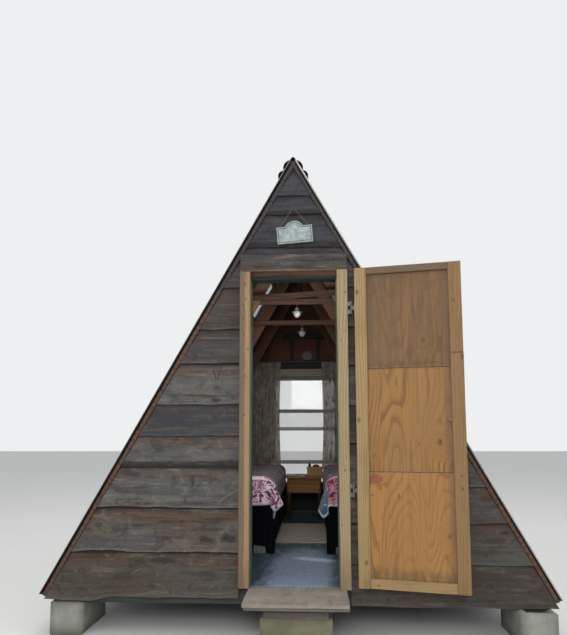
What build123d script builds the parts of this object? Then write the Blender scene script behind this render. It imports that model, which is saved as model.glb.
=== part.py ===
from build123d import *
import os
from math import atan2, cos, pi, radians, sin

# One-room A-frame cabin on concrete blocks, at real size in millimetres.
# +X is the cabin's right seen from the front, +Y runs into the depth, +Z is up.
# The origin is on the ground, at the middle of the whole part.

os.makedirs("parts", exist_ok=True)

# Roof outline: the outer line of the roofing sheets
HALF_WIDTH = 1525.0
TIP_RISE = 53.0
ROOF_RISE = 2696.0

# Plan
DEPTH = 3048.0
ROOF_OVERHANG = 40.0
FRAME_COUNT = 5

# Lumber
STUD_T = 38.0
STUD_D = 89.0
RIDGE_T = 19.0
DECK_T = 22.0
BATTEN_W = 38.0
BATTEN_STEP = 363.0
BATTEN_DROP = 443.0

# Corrugated roofing
SHEET_DEPTH = 16.0
SHEET_T = 1.5
WAVE_PITCH = 68.0
WAVE_STEPS = 8

# Ridge cap: a corrugated sheet bent over the ridge, its waves along the ridge
CAP_T = 2.0
CAP_WAVE = 78.0
CAP_WAVE_DEPTH = 18.0
CAP_FIRST = 36.0
CAP_REACH = 176.0
CAP_DROP = 12.0
CAP_SETBACK = 12.0

# Foundation blocks
BLOCK_L = 397.0
BLOCK_W = 194.0
BLOCK_H = 194.0
BLOCK_WALL = 32.0
BLOCK_IN = 79.0
BLOCK_PROUD = 100.0

# Floor
FLOOR_T = 18.0
JOIST_COUNT = 7

# Siding: each board's bottom edge above the blocks, read from the photograph
SIDING_T = 16.0
LEFT_RISES = [39.0, 302.0, 561.0, 801.0, 987.0, 1177.0, 1429.0, 1637.0, 1900.0]
RIGHT_RISES = [4.0, 243.0, 476.0, 686.0, 944.0, 1167.0, 1412.0, 1647.0, 1897.0]
GABLE_RISES = [0.0, 52.0, 265.0, 382.0]
REAR_LIFT = 39.0
REAR_EXPOSURE = 240.0

# Doorway
POST_W = 64.0
POST_T = 38.0
POST_INNER_X = 264.0
JAMB_SHOW = 5.0
HEADER_DROP = 47.0
LINTEL_IN = 34.5
LINTEL_H = 106.0
LINTEL_T = 19.0

# Plaque on its cord and nail
PLAQUE_W = 222.0
PLAQUE_H = 108.0
PLAQUE_ARCH_R = 62.0
PLAQUE_RISE = 34.0
PLAQUE_T = 10.0
PLAQUE_TILT = 4.5
PLAQUE_X = 9.0
PLAQUE_LIFT = 129.0
PLAQUE_HOLE_X = 91.0
NAIL_LIFT = 295.0
NAIL_R = 2.5
NAIL_L = 26.0
CORD_R = 1.5

# Door leaf
DOOR_LIFT = 13.0
DOOR_RISE = 4.0
DOOR_LAP = 27.0
DOOR_OPEN = 168.7
DOOR_GAP = 5.0
HINGE_OFFSET = 20.0
DOOR_FRAME_T = 19.0
DOOR_PANEL_T = 6.0
DOOR_BOARD_T = 14.0
STILE_W = 68.0
TOP_RAIL_H = 40.0
BOTTOM_RAIL_H = 54.0
LOW_PANEL_H = 659.0
MIDDLE_PANEL_H = 605.0
SEAM_GAP = 1.5
DOOR_BOARD_COUNT = 9
LATCH_RISE = 959.0
LATCH_IN = 86.0
LATCH_R = 9.0
LATCH_L = 14.0

# Hinges
HINGE_H = 75.0
HINGE_RISE = 549.0
HINGE_DROP = 243.0
LEAF_T = 2.0
BARREL_R = 6.0
PIN_R = 2.5
PIN_CLEAR = 0.1
KNUCKLE_GAP = 0.6
LEAF_BACK = 30.0

# Step
STEP_REACH = 372.0
TREAD_T = 19.0
UNDER_T = 15.0
TREAD_LEFT = 270.0
TREAD_RIGHT = 302.0
UNDER_SET = 8.0
STEP_BLOCK_X = 14.0
STEP_BLOCK_SET = 120.0

# Rear wall and window
WINDOW_X = 18.0
WINDOW_W = 800.0
WINDOW_RISE = 319.0
WINDOW_CLEAR = 95.5
WINDOW_FRAME_W = 24.0
TRIM_H = 84.0
TRIM_T = 16.0
SASH_W = 40.0
SASH_T = 28.0
SASH_RAISE = 200.0
GLASS_T = 4.0
REAR_HEADER_RISE = 72.0
REAR_TIE_RISE = 255.0
REAR_TIE_H = 54.0
SHORT_STUD_X = 147.0
DISC_R = 55.0
DISC_T = 20.0
DISC_X = 43.0

# Curtains
ROD_R = 8.0
ROD_RISE = 70.0
ROD_AWAY = 34.0
BRACKET_R = 6.0
BRACKET_IN = 12.0
CURTAIN_T = 24.0
CURTAIN_RISE = 485.0
CURTAIN_IN_LEFT = 249.0
CURTAIN_IN_RIGHT = 202.0
CURTAIN_OUT = 567.0

# Ties, by the drop of their middle line below the ridge, and the lamps under them
FRONT_TIE_LEFT = 735.0
FRONT_TIE_RIGHT = 697.0
SECOND_TIE = 749.0
THIRD_TIE = 784.0
SHADE_R = 41.5
SHADE_H = 18.0
SHADE_T = 1.5
LAMP_CAP_R = 13.0
STEM_R = 2.0
BULB_R = 28.0
SHADE_DROP = 64.0
LAMP_SIDES = 16
BULB_RINGS = [(-1, 0.4), (-0.5, 0.87), (0, 1), (0.5, 0.87), (1, 0.4)]
LAMP_X = [-4.0, 19.0]

# Beds
BED_LENGTH = 1900.0
BED_HEAD_GAP = 159.0
BED_SIDE_GAP = 21.0
BED_WIDTH_LEFT = 805.0
BED_WIDTH_RIGHT = 780.0
LEG_W = 90.0
LEG_H = 243.0
LEG_SET = 50.0
BED_BASE_T = 76.0
MATTRESS_H = 230.0
BLANKET_T = 10.0
BLANKET_LIFT = 57.0
QUILT_T = 20.0
QUILT_HANG = 160.0

# Table and rug
TABLE_BACK_GAP = 59.0
TABLE_D = 400.0
TABLE_H = 440.0
TABLE_TOP_T = 19.0
TABLE_SIDE_GAP = 4.0
APRON_H = 150.0
APRON_T = 20.0
TABLE_LEG = 40.0
BOX_W = 170.0
BOX_D = 120.0
BOX_H = 92.0
BOX_SIDE = 2.0
RUG_W = 575.0
RUG_L = 1010.0
RUG_T = 8.0
RUG_BACK = 370.0

# Named clearances
SEAT = 0.3
GAP = 2.0

# Values worked out from the sizes above
JOIST_Z = BLOCK_H
DECK_Z = JOIST_Z + STUD_D
FLOOR_Z = DECK_Z + FLOOR_T
TIP_Z = BLOCK_H + TIP_RISE
RIDGE_Z = TIP_Z + ROOF_RISE
PITCH = atan2(ROOF_RISE, HALF_WIDTH)
COS = cos(PITCH)
SIN = sin(PITCH)
TAN = SIN / COS
OVERALL = STEP_REACH + DEPTH + ROOF_OVERHANG
FRONT = STEP_REACH - OVERALL / 2
REAR = FRONT + DEPTH
MIDDLE = (FRONT + REAR) / 2
DECK_IN = SHEET_DEPTH + SEAT
RAFTER_IN = DECK_IN + DECK_T
INSIDE_IN = RAFTER_IN + STUD_D
SIDING_IN = RAFTER_IN + GAP
SIDING_OUT = 2 * SIDING_T
FRAME_STEP = (DEPTH - STUD_T) / (FRAME_COUNT - 1)
FRAMES = [FRONT + i * FRAME_STEP for i in range(FRAME_COUNT)]


def roof_x(z, inset):
    """Half width of the roof at height z, on a line inset from its outer surface."""
    return (RIDGE_Z - z) / TAN - inset / SIN


def roof_z(x, inset):
    """Height of the roof at distance x from the middle, on a line inset from its outer surface."""
    return RIDGE_Z - x * TAN - inset / COS


def tip(inset):
    """Lower end of a roof layer, cut square to the slope."""
    return (HALF_WIDTH - inset * SIN, TIP_Z - inset * COS)


def elevation(y):
    """Upright plane facing the front at depth y: extrude(amount=-t) goes t deeper."""
    return Plane.XZ.offset(-y)


def side(points, sign):
    """The same outline on the right (+1) or mirrored to the left (-1)."""
    return [(sign * x, z) for x, z in points]


def inside_triangle(low):
    """Elevation outline of the room above height low, just inside the rafters."""
    inset = INSIDE_IN + SEAT
    return [(-roof_x(low, inset), low), (roof_x(low, inset), low), (0, roof_z(0, inset))]


FLOOR_HALF = roof_x(FLOOR_Z, RAFTER_IN)
POST_OUTER_X = POST_INNER_X + POST_W
JAMB_X = POST_INNER_X - JAMB_SHOW
POST_BACK = FRONT - STUD_T
POST_FACE = POST_BACK - POST_T
LINTEL_TOP = roof_z(POST_OUTER_X, LINTEL_IN)
POST_TOP = LINTEL_TOP - LINTEL_H
HEADER_BOTTOM = POST_TOP - HEADER_DROP

# Foundation


def hollow_block(along_y, x, y):
    """A two-cell concrete block standing on the ground, its middle at x, y."""
    cell = (BLOCK_L - 3 * BLOCK_WALL) / 2
    step = cell + BLOCK_WALL
    with BuildPart() as block:
        with BuildSketch(Plane.XY):
            with Locations(Location((x, y), 90 if along_y else 0)):
                Rectangle(BLOCK_L, BLOCK_W)
                with Locations((-step / 2, 0), (step / 2, 0)):
                    Rectangle(cell, BLOCK_W - 2 * BLOCK_WALL, mode=Mode.SUBTRACT)
        extrude(amount=BLOCK_H)
    return block.part


BLOCK_X = FLOOR_HALF - BLOCK_IN
BLOCK_PLACES = [
    (-BLOCK_X, FRONT + BLOCK_L / 2),
    (BLOCK_X, FRONT - BLOCK_PROUD + BLOCK_L / 2),
    (-BLOCK_X, MIDDLE),
    (BLOCK_X, MIDDLE),
    (-BLOCK_X, REAR - BLOCK_L / 2),
    (BLOCK_X, REAR - BLOCK_L / 2),
]
with BuildPart() as foundation_blocks:
    for block_x, block_y in BLOCK_PLACES:
        add(hollow_block(True, block_x, block_y))
foundation_blocks.part.label = "foundation_blocks"
export_step(foundation_blocks.part, "parts/foundation_blocks.step")

STEP_BLOCK_Y = FRONT - STEP_REACH + STEP_BLOCK_SET + BLOCK_W / 2
with BuildPart() as step_block:
    add(hollow_block(False, STEP_BLOCK_X, STEP_BLOCK_Y))
step_block.part.label = "step_block"
export_step(step_block.part, "parts/step_block.step")

# Floor frame

with BuildPart() as rim_joists:
    with BuildSketch(Plane.XY.offset(JOIST_Z)):
        with Locations((0, FRONT + STUD_T / 2), (0, REAR - STUD_T / 2)):
            Rectangle(2 * FLOOR_HALF, STUD_T)
    extrude(amount=STUD_D)
rim_joists.part.label = "rim_joists"
export_step(rim_joists.part, "parts/rim_joists.step")

with BuildPart() as floor_joists:
    with BuildSketch(Plane.XY.offset(JOIST_Z)):
        with Locations((0, MIDDLE)):
            with GridLocations((2 * FLOOR_HALF - STUD_T) / (JOIST_COUNT - 1), 1, JOIST_COUNT, 1):
                Rectangle(STUD_T, DEPTH - 2 * STUD_T)
    extrude(amount=STUD_D)
floor_joists.part.label = "floor_joists"
export_step(floor_joists.part, "parts/floor_joists.step")

with BuildPart() as floor_deck:
    with BuildSketch(Plane.XY.offset(DECK_Z)):
        with Locations((0, MIDDLE)):
            Rectangle(2 * FLOOR_HALF, DEPTH)
    extrude(amount=FLOOR_T)
floor_deck.part.label = "floor_deck"
export_step(floor_deck.part, "parts/floor_deck.step")

# Roof frame


def rafter_outline():
    """Elevation outline of a right rafter, from its plumb cut to its foot on the floor."""
    x = RIDGE_T / 2
    return [
        (x, roof_z(x, RAFTER_IN)),
        (roof_x(FLOOR_Z, RAFTER_IN), FLOOR_Z),
        (roof_x(FLOOR_Z, INSIDE_IN), FLOOR_Z),
        (x, roof_z(x, INSIDE_IN)),
    ]


with BuildPart() as rafters:
    for frame_y in FRAMES:
        for sign in (-1, 1):
            with BuildSketch(elevation(frame_y)):
                with BuildLine():
                    Polyline(*side(rafter_outline(), sign), close=True)
                make_face()
            extrude(amount=-STUD_T)
rafters.part.label = "rafters"
export_step(rafters.part, "parts/rafters.step")

RIDGE_BOARD_TOP = roof_z(RIDGE_T / 2, RAFTER_IN)
RIDGE_BOARD_LOW = roof_z(RIDGE_T / 2, INSIDE_IN)
with BuildPart() as ridge_board:
    with BuildSketch(Plane.XY.offset(RIDGE_BOARD_LOW)):
        with Locations((0, MIDDLE)):
            Rectangle(RIDGE_T, DEPTH)
    extrude(amount=RIDGE_BOARD_TOP - RIDGE_BOARD_LOW)
ridge_board.part.label = "ridge_board"
export_step(ridge_board.part, "parts/ridge_board.step")


def tie_outline(left_z, right_z):
    """A tie across the rafters, cut to the roof at both ends, its middle line from left_z to right_z."""
    half = STUD_T / 2
    inset = RAFTER_IN + SEAT
    return [
        (-roof_x(left_z + half, inset), left_z + half),
        (roof_x(right_z + half, inset), right_z + half),
        (roof_x(right_z - half, inset), right_z - half),
        (-roof_x(left_z - half, inset), left_z - half),
    ]


# A tie on each side of the second frame and one before the third: left end, right end, depth
TIES = [
    (RIDGE_Z - FRONT_TIE_LEFT, RIDGE_Z - FRONT_TIE_RIGHT, FRAMES[1] - STUD_T),
    (RIDGE_Z - SECOND_TIE, RIDGE_Z - SECOND_TIE, FRAMES[1] + STUD_T),
    (RIDGE_Z - THIRD_TIE, RIDGE_Z - THIRD_TIE, FRAMES[2] - STUD_T),
]
with BuildPart() as collar_ties:
    for tie_left, tie_right, tie_y in TIES:
        with BuildSketch(elevation(tie_y)):
            with BuildLine():
                Polyline(*tie_outline(tie_left, tie_right), close=True)
            make_face()
        extrude(amount=-STUD_T)
collar_ties.part.label = "collar_ties"
export_step(collar_ties.part, "parts/collar_ties.step")

# Roof decks: open in one bay a side, where light comes through the skylight sheet

OPEN_LEFT = (FRAMES[1] + STUD_T, FRAMES[2])
OPEN_RIGHT = (FRAMES[0] + STUD_T, FRAMES[1])
DECK_RUNS = [
    (-1, FRONT - SIDING_OUT, OPEN_LEFT[0]),
    (-1, OPEN_LEFT[1], REAR + SIDING_OUT),
    (1, FRONT - SIDING_OUT, OPEN_RIGHT[0]),
    (1, OPEN_RIGHT[1], REAR + SIDING_OUT),
]


def deck_outline():
    """Elevation outline of the right deck, from a plumb cut at the ridge to a square cut at the tip."""
    return [
        (SEAT, roof_z(SEAT, DECK_IN)),
        tip(DECK_IN),
        tip(RAFTER_IN),
        (SEAT, roof_z(SEAT, RAFTER_IN)),
    ]


with BuildPart() as roof_decks:
    for sign, y0, y1 in DECK_RUNS:
        with BuildSketch(elevation(y0)):
            with BuildLine():
                Polyline(*side(deck_outline(), sign), close=True)
            make_face()
        extrude(amount=y0 - y1)
roof_decks.part.label = "roof_decks"
export_step(roof_decks.part, "parts/roof_decks.step")


def batten_outline(z):
    """Section of a batten in the deck's layer, its upper edge at height z on the deck's underside."""
    x = roof_x(z, RAFTER_IN)
    out_x = DECK_T * SIN
    out_z = DECK_T * COS
    down_x = BATTEN_W * COS
    down_z = BATTEN_W * SIN
    return [
        (x, z),
        (x + out_x, z + out_z),
        (x + out_x + down_x, z + out_z - down_z),
        (x + down_x, z - down_z),
    ]


BATTEN_FALL = BATTEN_STEP * SIN
BATTEN_COUNT = int((RIDGE_Z - BATTEN_DROP - FLOOR_Z) / BATTEN_FALL) + 1
with BuildPart() as roof_battens:
    for sign, (y0, y1) in ((-1, OPEN_LEFT), (1, OPEN_RIGHT)):
        for i in range(BATTEN_COUNT):
            with BuildSketch(elevation(y0)):
                with BuildLine():
                    batten_z = RIDGE_Z - BATTEN_DROP - i * BATTEN_FALL
                    Polyline(*side(batten_outline(batten_z), sign), close=True)
                make_face()
            extrude(amount=y0 - y1)
roof_battens.part.label = "roof_battens"
export_step(roof_battens.part, "parts/roof_battens.step")

# Corrugated roofing: a whole number of waves fills the run from front to rear

SHEET_FRONT = FRONT - ROOF_OVERHANG
SHEET_REAR = REAR + ROOF_OVERHANG
WAVE_COUNT = round((SHEET_REAR - SHEET_FRONT) / WAVE_PITCH)
WAVE = (SHEET_REAR - SHEET_FRONT) / WAVE_COUNT
SHEET_TOP = SHEET_DEPTH * TAN + GAP
SHEET_LENGTH = HALF_WIDTH / COS - SHEET_TOP
LAP_RISE = SHEET_T + SEAT


def waves_before(y):
    """How many whole waves lie between the sheets' front edge and depth y."""
    return int((y - SHEET_FRONT) / WAVE)


def corrugated_sheet(sign, first_wave, last_wave, rise):
    """A sheet on one slope from one wave to another, lifted off the deck by rise."""
    swing = (SHEET_DEPTH - SHEET_T) / 2
    count = (last_wave - first_wave) * WAVE_STEPS
    upper = []
    for i in range(count + 1):
        y = SHEET_FRONT + first_wave * WAVE + i * WAVE / WAVE_STEPS
        height = rise - swing + swing * cos(2 * pi * i / WAVE_STEPS)
        upper.append((sign * y, height))
    lower = [(u, height - SHEET_T) for u, height in reversed(upper)]
    top = (sign * SHEET_TOP * COS, 0, RIDGE_Z - SHEET_TOP * SIN)
    with BuildPart() as sheet:
        with BuildSketch(Plane(origin=top, x_dir=(0, sign, 0), z_dir=(sign * COS, 0, -SIN))):
            with BuildLine():
                Polyline(*upper, *lower, close=True)
            make_face()
        extrude(amount=SHEET_LENGTH)
    return sheet.part


# The skylight sheets reach one wave past their open bay and lap one wave over their neighbours
SKY_LEFT = (waves_before(OPEN_LEFT[0]) - 1, waves_before(OPEN_LEFT[1]) + 2)
SKY_RIGHT = (0, waves_before(OPEN_RIGHT[1]) + 2)

with BuildPart() as roof_sheets:
    add(corrugated_sheet(-1, 0, SKY_LEFT[0] + 1, 0))
    add(corrugated_sheet(-1, SKY_LEFT[1] - 1, WAVE_COUNT, 0))
    add(corrugated_sheet(1, SKY_RIGHT[1] - 1, WAVE_COUNT, 0))
roof_sheets.part.label = "roof_sheets"
export_step(roof_sheets.part, "parts/roof_sheets.step")

with BuildPart() as skylights:
    add(corrugated_sheet(-1, SKY_LEFT[0], SKY_LEFT[1], LAP_RISE))
    add(corrugated_sheet(1, SKY_RIGHT[0], SKY_RIGHT[1], LAP_RISE))
skylights.part.label = "skylights"
export_step(skylights.part, "parts/skylights.step")

# Ridge cap

CAP_BASE = LAP_RISE + SEAT


def on_slope(d, h):
    """Elevation point d down the right slope from the ridge and h out of its outer line."""
    return (d * COS + h * SIN, RIDGE_Z - d * SIN + h * COS)


def cap_side(level):
    """Right half of one surface of the cap, from the ridge down, as a list of three-point arcs."""
    ridge = (0, RIDGE_Z - CAP_DROP + level)
    first = on_slope(CAP_FIRST, level)
    shoulder = ((ridge[0] + first[0] + level * SIN) / 2, (ridge[1] + first[1]) / 2 + CAP_T)
    arcs = [(ridge, shoulder, first)]
    d = CAP_FIRST
    while d + CAP_WAVE / 2 < CAP_REACH:
        end = min(d + CAP_WAVE, CAP_REACH)
        crest = on_slope((d + end) / 2, level + CAP_WAVE_DEPTH)
        arcs.append((on_slope(d, level), crest, on_slope(end, level)))
        d = end
    return arcs


CAP_FRONT = SHEET_FRONT + CAP_SETBACK
CAP_REAR = SHEET_REAR - CAP_SETBACK
with BuildPart() as ridge_cap:
    with BuildSketch(elevation(CAP_FRONT)):
        with BuildLine():
            for sign in (-1, 1):
                outer = cap_side(CAP_BASE + CAP_T)
                inner = cap_side(CAP_BASE)
                for arc in outer + inner:
                    ThreePointArc(*side(arc, sign))
                Line(*side([outer[-1][2], inner[-1][2]], sign))
        make_face()
    extrude(amount=CAP_FRONT - CAP_REAR)
ridge_cap.part.label = "ridge_cap"
export_step(ridge_cap.part, "parts/ridge_cap.step")

# Doorway framing

STUD_MID_Y = POST_BACK + STUD_D / 2
with BuildPart() as door_studs:
    with BuildSketch(Plane.XY.offset(FLOOR_Z)):
        stud_x = JAMB_X + STUD_T / 2
        with Locations((-stud_x, STUD_MID_Y), (stud_x, STUD_MID_Y)):
            Rectangle(STUD_T, STUD_D)
    extrude(amount=HEADER_BOTTOM - FLOOR_Z)
door_studs.part.label = "door_studs"
export_step(door_studs.part, "parts/door_studs.step")

with BuildPart() as door_header:
    with BuildSketch(elevation(POST_BACK)):
        with Locations((0, HEADER_BOTTOM + STUD_D / 2)):
            Rectangle(2 * (JAMB_X + STUD_T), STUD_D)
        with BuildLine():
            Polyline(*inside_triangle(HEADER_BOTTOM), close=True)
        make_face(mode=Mode.INTERSECT)
    extrude(amount=-STUD_D)
door_header.part.label = "door_header"
export_step(door_header.part, "parts/door_header.step")

with BuildPart() as door_posts:
    with BuildSketch(Plane.XY.offset(FLOOR_Z)):
        post_x = POST_INNER_X + POST_W / 2
        post_y = POST_BACK - POST_T / 2
        with Locations((-post_x, post_y), (post_x, post_y)):
            Rectangle(POST_W, POST_T)
    extrude(amount=POST_TOP - FLOOR_Z)
door_posts.part.label = "door_posts"
export_step(door_posts.part, "parts/door_posts.step")

with BuildPart() as lintel_board:
    with BuildSketch(Plane.XY.offset(POST_TOP)):
        with Locations((0, POST_BACK - LINTEL_T / 2)):
            Rectangle(2 * POST_OUTER_X, LINTEL_T)
    extrude(amount=LINTEL_H)
lintel_board.part.label = "lintel_board"
export_step(lintel_board.part, "parts/lintel_board.step")

# Siding: lapped boards, each panel one solid with a stepped face


def lap_outline(face_y, out, edges, top):
    """Section of lapped boards outside the framing face: out is -1 at the front and +1 at the rear."""
    points = [(face_y, edges[0])]
    for low, high in zip(edges, edges[1:] + [top]):
        points.append((face_y + out * 2 * SIDING_T, low))
        points.append((face_y + out * SIDING_T, high))
    points.append((face_y, top))
    return points


def lap_face(z, edges):
    """How far the lapped boards' face stands out of the framing face at height z."""
    low = max(edge for edge in edges if edge <= z)
    high = min(edge for edge in edges + [RIDGE_Z] if edge > z)
    return SIDING_T * (2 - (z - low) / (high - low))


def lap_panel(face_y, out, edges, outline):
    """Lapped boards cut to an elevation outline; boards that start above it fall away."""
    top = max(z for x, z in outline)
    used = [edge for edge in edges if edge < top - SIDING_T]
    reach = max(abs(x) for x, z in outline)
    with BuildPart() as panel:
        with BuildSketch(Plane.YZ.offset(-reach)):
            with BuildLine():
                Polyline(*lap_outline(face_y, out, used, top), close=True)
            make_face()
        extrude(amount=2 * reach)
        with BuildSketch(elevation(face_y)):
            with BuildLine():
                Polyline(*outline, close=True)
            make_face()
        extrude(amount=2 * SIDING_OUT, both=True, mode=Mode.INTERSECT)
    return panel.part


LEFT_EDGES = [BLOCK_H + rise for rise in LEFT_RISES]
RIGHT_EDGES = [BLOCK_H + rise for rise in RIGHT_RISES]
GABLE_LOW = LINTEL_TOP + GAP
GABLE_EDGES = [GABLE_LOW + rise for rise in GABLE_RISES]


def beside_door(low):
    """Elevation outline of the siding right of the doorway."""
    x = POST_OUTER_X + GAP
    return [(x, low), (roof_x(low, SIDING_IN), low), (x, roof_z(x, SIDING_IN))]


def gable(low):
    """Elevation outline of the siding under the ridge, above height low."""
    x = roof_x(low, SIDING_IN)
    return [(-x, low), (x, low), (0, roof_z(0, SIDING_IN))]


with BuildPart() as siding_front:
    add(lap_panel(FRONT, -1, LEFT_EDGES, side(beside_door(LEFT_EDGES[0]), -1)))
    add(lap_panel(FRONT, -1, RIGHT_EDGES, beside_door(RIGHT_EDGES[0])))
siding_front.part.label = "siding_front"
export_step(siding_front.part, "parts/siding_front.step")

with BuildPart() as siding_gable:
    add(lap_panel(FRONT, -1, GABLE_EDGES, gable(GABLE_LOW)))
siding_gable.part.label = "siding_gable"
export_step(siding_gable.part, "parts/siding_gable.step")

WINDOW_LEFT = WINDOW_X - WINDOW_W / 2
WINDOW_RIGHT = WINDOW_X + WINDOW_W / 2
SILL_Z = FLOOR_Z + WINDOW_RISE
HEAD_Z = roof_z(WINDOW_RIGHT, INSIDE_IN) - WINDOW_CLEAR
REAR_LOW = BLOCK_H + REAR_LIFT
REAR_EDGES = [REAR_LOW + i * REAR_EXPOSURE for i in range(int((RIDGE_Z - REAR_LOW) / REAR_EXPOSURE))]


def beside_window(x):
    """Elevation outline of the rear siding outside distance x on the right of the middle."""
    return [
        (x, REAR_LOW),
        (roof_x(REAR_LOW, SIDING_IN), REAR_LOW),
        (roof_x(HEAD_Z, SIDING_IN), HEAD_Z),
        (x, HEAD_Z),
    ]


def below_window():
    """Elevation outline of the rear siding under the window."""
    return [(WINDOW_LEFT, REAR_LOW), (WINDOW_RIGHT, REAR_LOW), (WINDOW_RIGHT, SILL_Z), (WINDOW_LEFT, SILL_Z)]


with BuildPart() as siding_rear_sides:
    add(lap_panel(REAR, 1, REAR_EDGES, side(beside_window(-WINDOW_LEFT), -1)))
    add(lap_panel(REAR, 1, REAR_EDGES, beside_window(WINDOW_RIGHT)))
siding_rear_sides.part.label = "siding_rear_sides"
export_step(siding_rear_sides.part, "parts/siding_rear_sides.step")

with BuildPart() as siding_rear_above:
    add(lap_panel(REAR, 1, REAR_EDGES, gable(HEAD_Z)))
siding_rear_above.part.label = "siding_rear_above"
export_step(siding_rear_above.part, "parts/siding_rear_above.step")

with BuildPart() as siding_rear_below:
    add(lap_panel(REAR, 1, REAR_EDGES, below_window()))
siding_rear_below.part.label = "siding_rear_below"
export_step(siding_rear_below.part, "parts/siding_rear_below.step")

# Plaque hung by a cord from a nail in the gable

PLAQUE_Z = GABLE_LOW + PLAQUE_LIFT
NAIL_Z = GABLE_LOW + NAIL_LIFT
TILT_COS = cos(radians(PLAQUE_TILT))
TILT_SIN = sin(radians(PLAQUE_TILT))
PLAQUE_FOOT = PLAQUE_Z - (PLAQUE_H * TILT_COS + PLAQUE_W * TILT_SIN) / 2
PLAQUE_BACK = FRONT - lap_face(PLAQUE_FOOT, GABLE_EDGES) - SEAT

with BuildPart() as plaque:
    with BuildSketch(elevation(PLAQUE_BACK)):
        with Locations(Location((PLAQUE_X, PLAQUE_Z), PLAQUE_TILT)):
            Rectangle(PLAQUE_W, PLAQUE_H)
            with Locations((0, PLAQUE_H / 2 + PLAQUE_RISE - PLAQUE_ARCH_R)):
                Circle(PLAQUE_ARCH_R)
    extrude(amount=PLAQUE_T)
plaque.part.label = "plaque"
export_step(plaque.part, "parts/plaque.step")

with BuildPart() as plaque_nail:
    with BuildSketch(elevation(FRONT - lap_face(NAIL_Z - NAIL_R, GABLE_EDGES) - SEAT)):
        with Locations((0, NAIL_Z)):
            Circle(NAIL_R)
    extrude(amount=NAIL_L)
plaque_nail.part.label = "plaque_nail"
export_step(plaque_nail.part, "parts/plaque_nail.step")

CORD_Y = PLAQUE_BACK - PLAQUE_T / 2


def plaque_point(x, z):
    """Elevation point of the plaque from its own middle, turned with its tilt."""
    return (PLAQUE_X + x * TILT_COS - z * TILT_SIN, PLAQUE_Z + x * TILT_SIN + z * TILT_COS)


with BuildPart() as plaque_cord:
    for sign in (-1, 1):
        top = (sign * (NAIL_R + CORD_R + SEAT), CORD_Y, NAIL_Z)
        end_x, end_z = plaque_point(sign * PLAQUE_HOLE_X, PLAQUE_H / 2 + CORD_R + SEAT)
        leg = Vector(end_x - top[0], 0, end_z - top[2])
        with BuildSketch(Plane(origin=top, x_dir=(0, 1, 0), z_dir=leg)):
            Circle(CORD_R)
        extrude(amount=leg.length)
plaque_cord.part.label = "plaque_cord"
export_step(plaque_cord.part, "parts/plaque_cord.step")

# Rear wall framing, inside the rear rafters' plane

REAR_INNER = REAR - STUD_D
REAR_HEADER_Z = HEAD_Z + REAR_HEADER_RISE
SHORT_LOW = REAR_HEADER_Z + STUD_D
REAR_TIE_Z = SHORT_LOW + REAR_TIE_RISE
PLATE_TOP = FLOOR_Z + STUD_T


def rail_outline(low, high):
    """A rear rail between the rafters, cut to the roof's inside at both ends."""
    inset = INSIDE_IN + SEAT
    half = [(roof_x(low, inset), low), (roof_x(high, inset), high)]
    return half + side(half[::-1], -1)


with BuildPart() as rear_rails:
    for low, height in ((FLOOR_Z, STUD_T), (REAR_HEADER_Z, STUD_D), (REAR_TIE_Z, REAR_TIE_H)):
        with BuildSketch(elevation(REAR_INNER)):
            with BuildLine():
                Polyline(*rail_outline(low, low + height), close=True)
            make_face()
        extrude(amount=-STUD_D)
rear_rails.part.label = "rear_rails"
export_step(rear_rails.part, "parts/rear_rails.step")

REAR_STUDS = [
    (WINDOW_LEFT - STUD_T / 2, PLATE_TOP, REAR_HEADER_Z),
    (WINDOW_RIGHT + STUD_T / 2, PLATE_TOP, REAR_HEADER_Z),
    (WINDOW_X - SHORT_STUD_X, SHORT_LOW, REAR_TIE_Z),
    (WINDOW_X + SHORT_STUD_X, SHORT_LOW, REAR_TIE_Z),
]
with BuildPart() as rear_studs:
    with BuildSketch(elevation(REAR_INNER)):
        for stud_x, low, high in REAR_STUDS:
            with Locations((stud_x, (low + high) / 2)):
                Rectangle(STUD_T, high - low)
        with BuildLine():
            Polyline(*inside_triangle(PLATE_TOP), close=True)
        make_face(mode=Mode.INTERSECT)
    extrude(amount=-STUD_D)
rear_studs.part.label = "rear_studs"
export_step(rear_studs.part, "parts/rear_studs.step")

with BuildPart() as rear_sill:
    with BuildSketch(Plane.XY.offset(SILL_Z - STUD_T)):
        with Locations((WINDOW_X, REAR - STUD_D / 2)):
            Rectangle(WINDOW_W, STUD_D)
    extrude(amount=STUD_T)
rear_sill.part.label = "rear_sill"
export_step(rear_sill.part, "parts/rear_sill.step")

with BuildPart() as wall_disc:
    with BuildSketch(elevation(REAR - SEAT)):
        with Locations((DISC_X, SHORT_LOW + DISC_R + GAP)):
            Circle(DISC_R)
    extrude(amount=DISC_T)
wall_disc.part.label = "wall_disc"
export_step(wall_disc.part, "parts/wall_disc.step")

# Window: a fixed upper sash, and a lower sash standing raised behind it

with BuildPart() as window_frame:
    with BuildSketch(elevation(REAR_INNER)):
        with Locations((WINDOW_X, (SILL_Z + HEAD_Z) / 2)):
            Rectangle(WINDOW_W, HEAD_Z - SILL_Z)
            Rectangle(
                WINDOW_W - 2 * WINDOW_FRAME_W,
                HEAD_Z - SILL_Z - 2 * WINDOW_FRAME_W,
                mode=Mode.SUBTRACT,
            )
    extrude(amount=-STUD_D - SIDING_OUT)
window_frame.part.label = "window_frame"
export_step(window_frame.part, "parts/window_frame.step")

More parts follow.
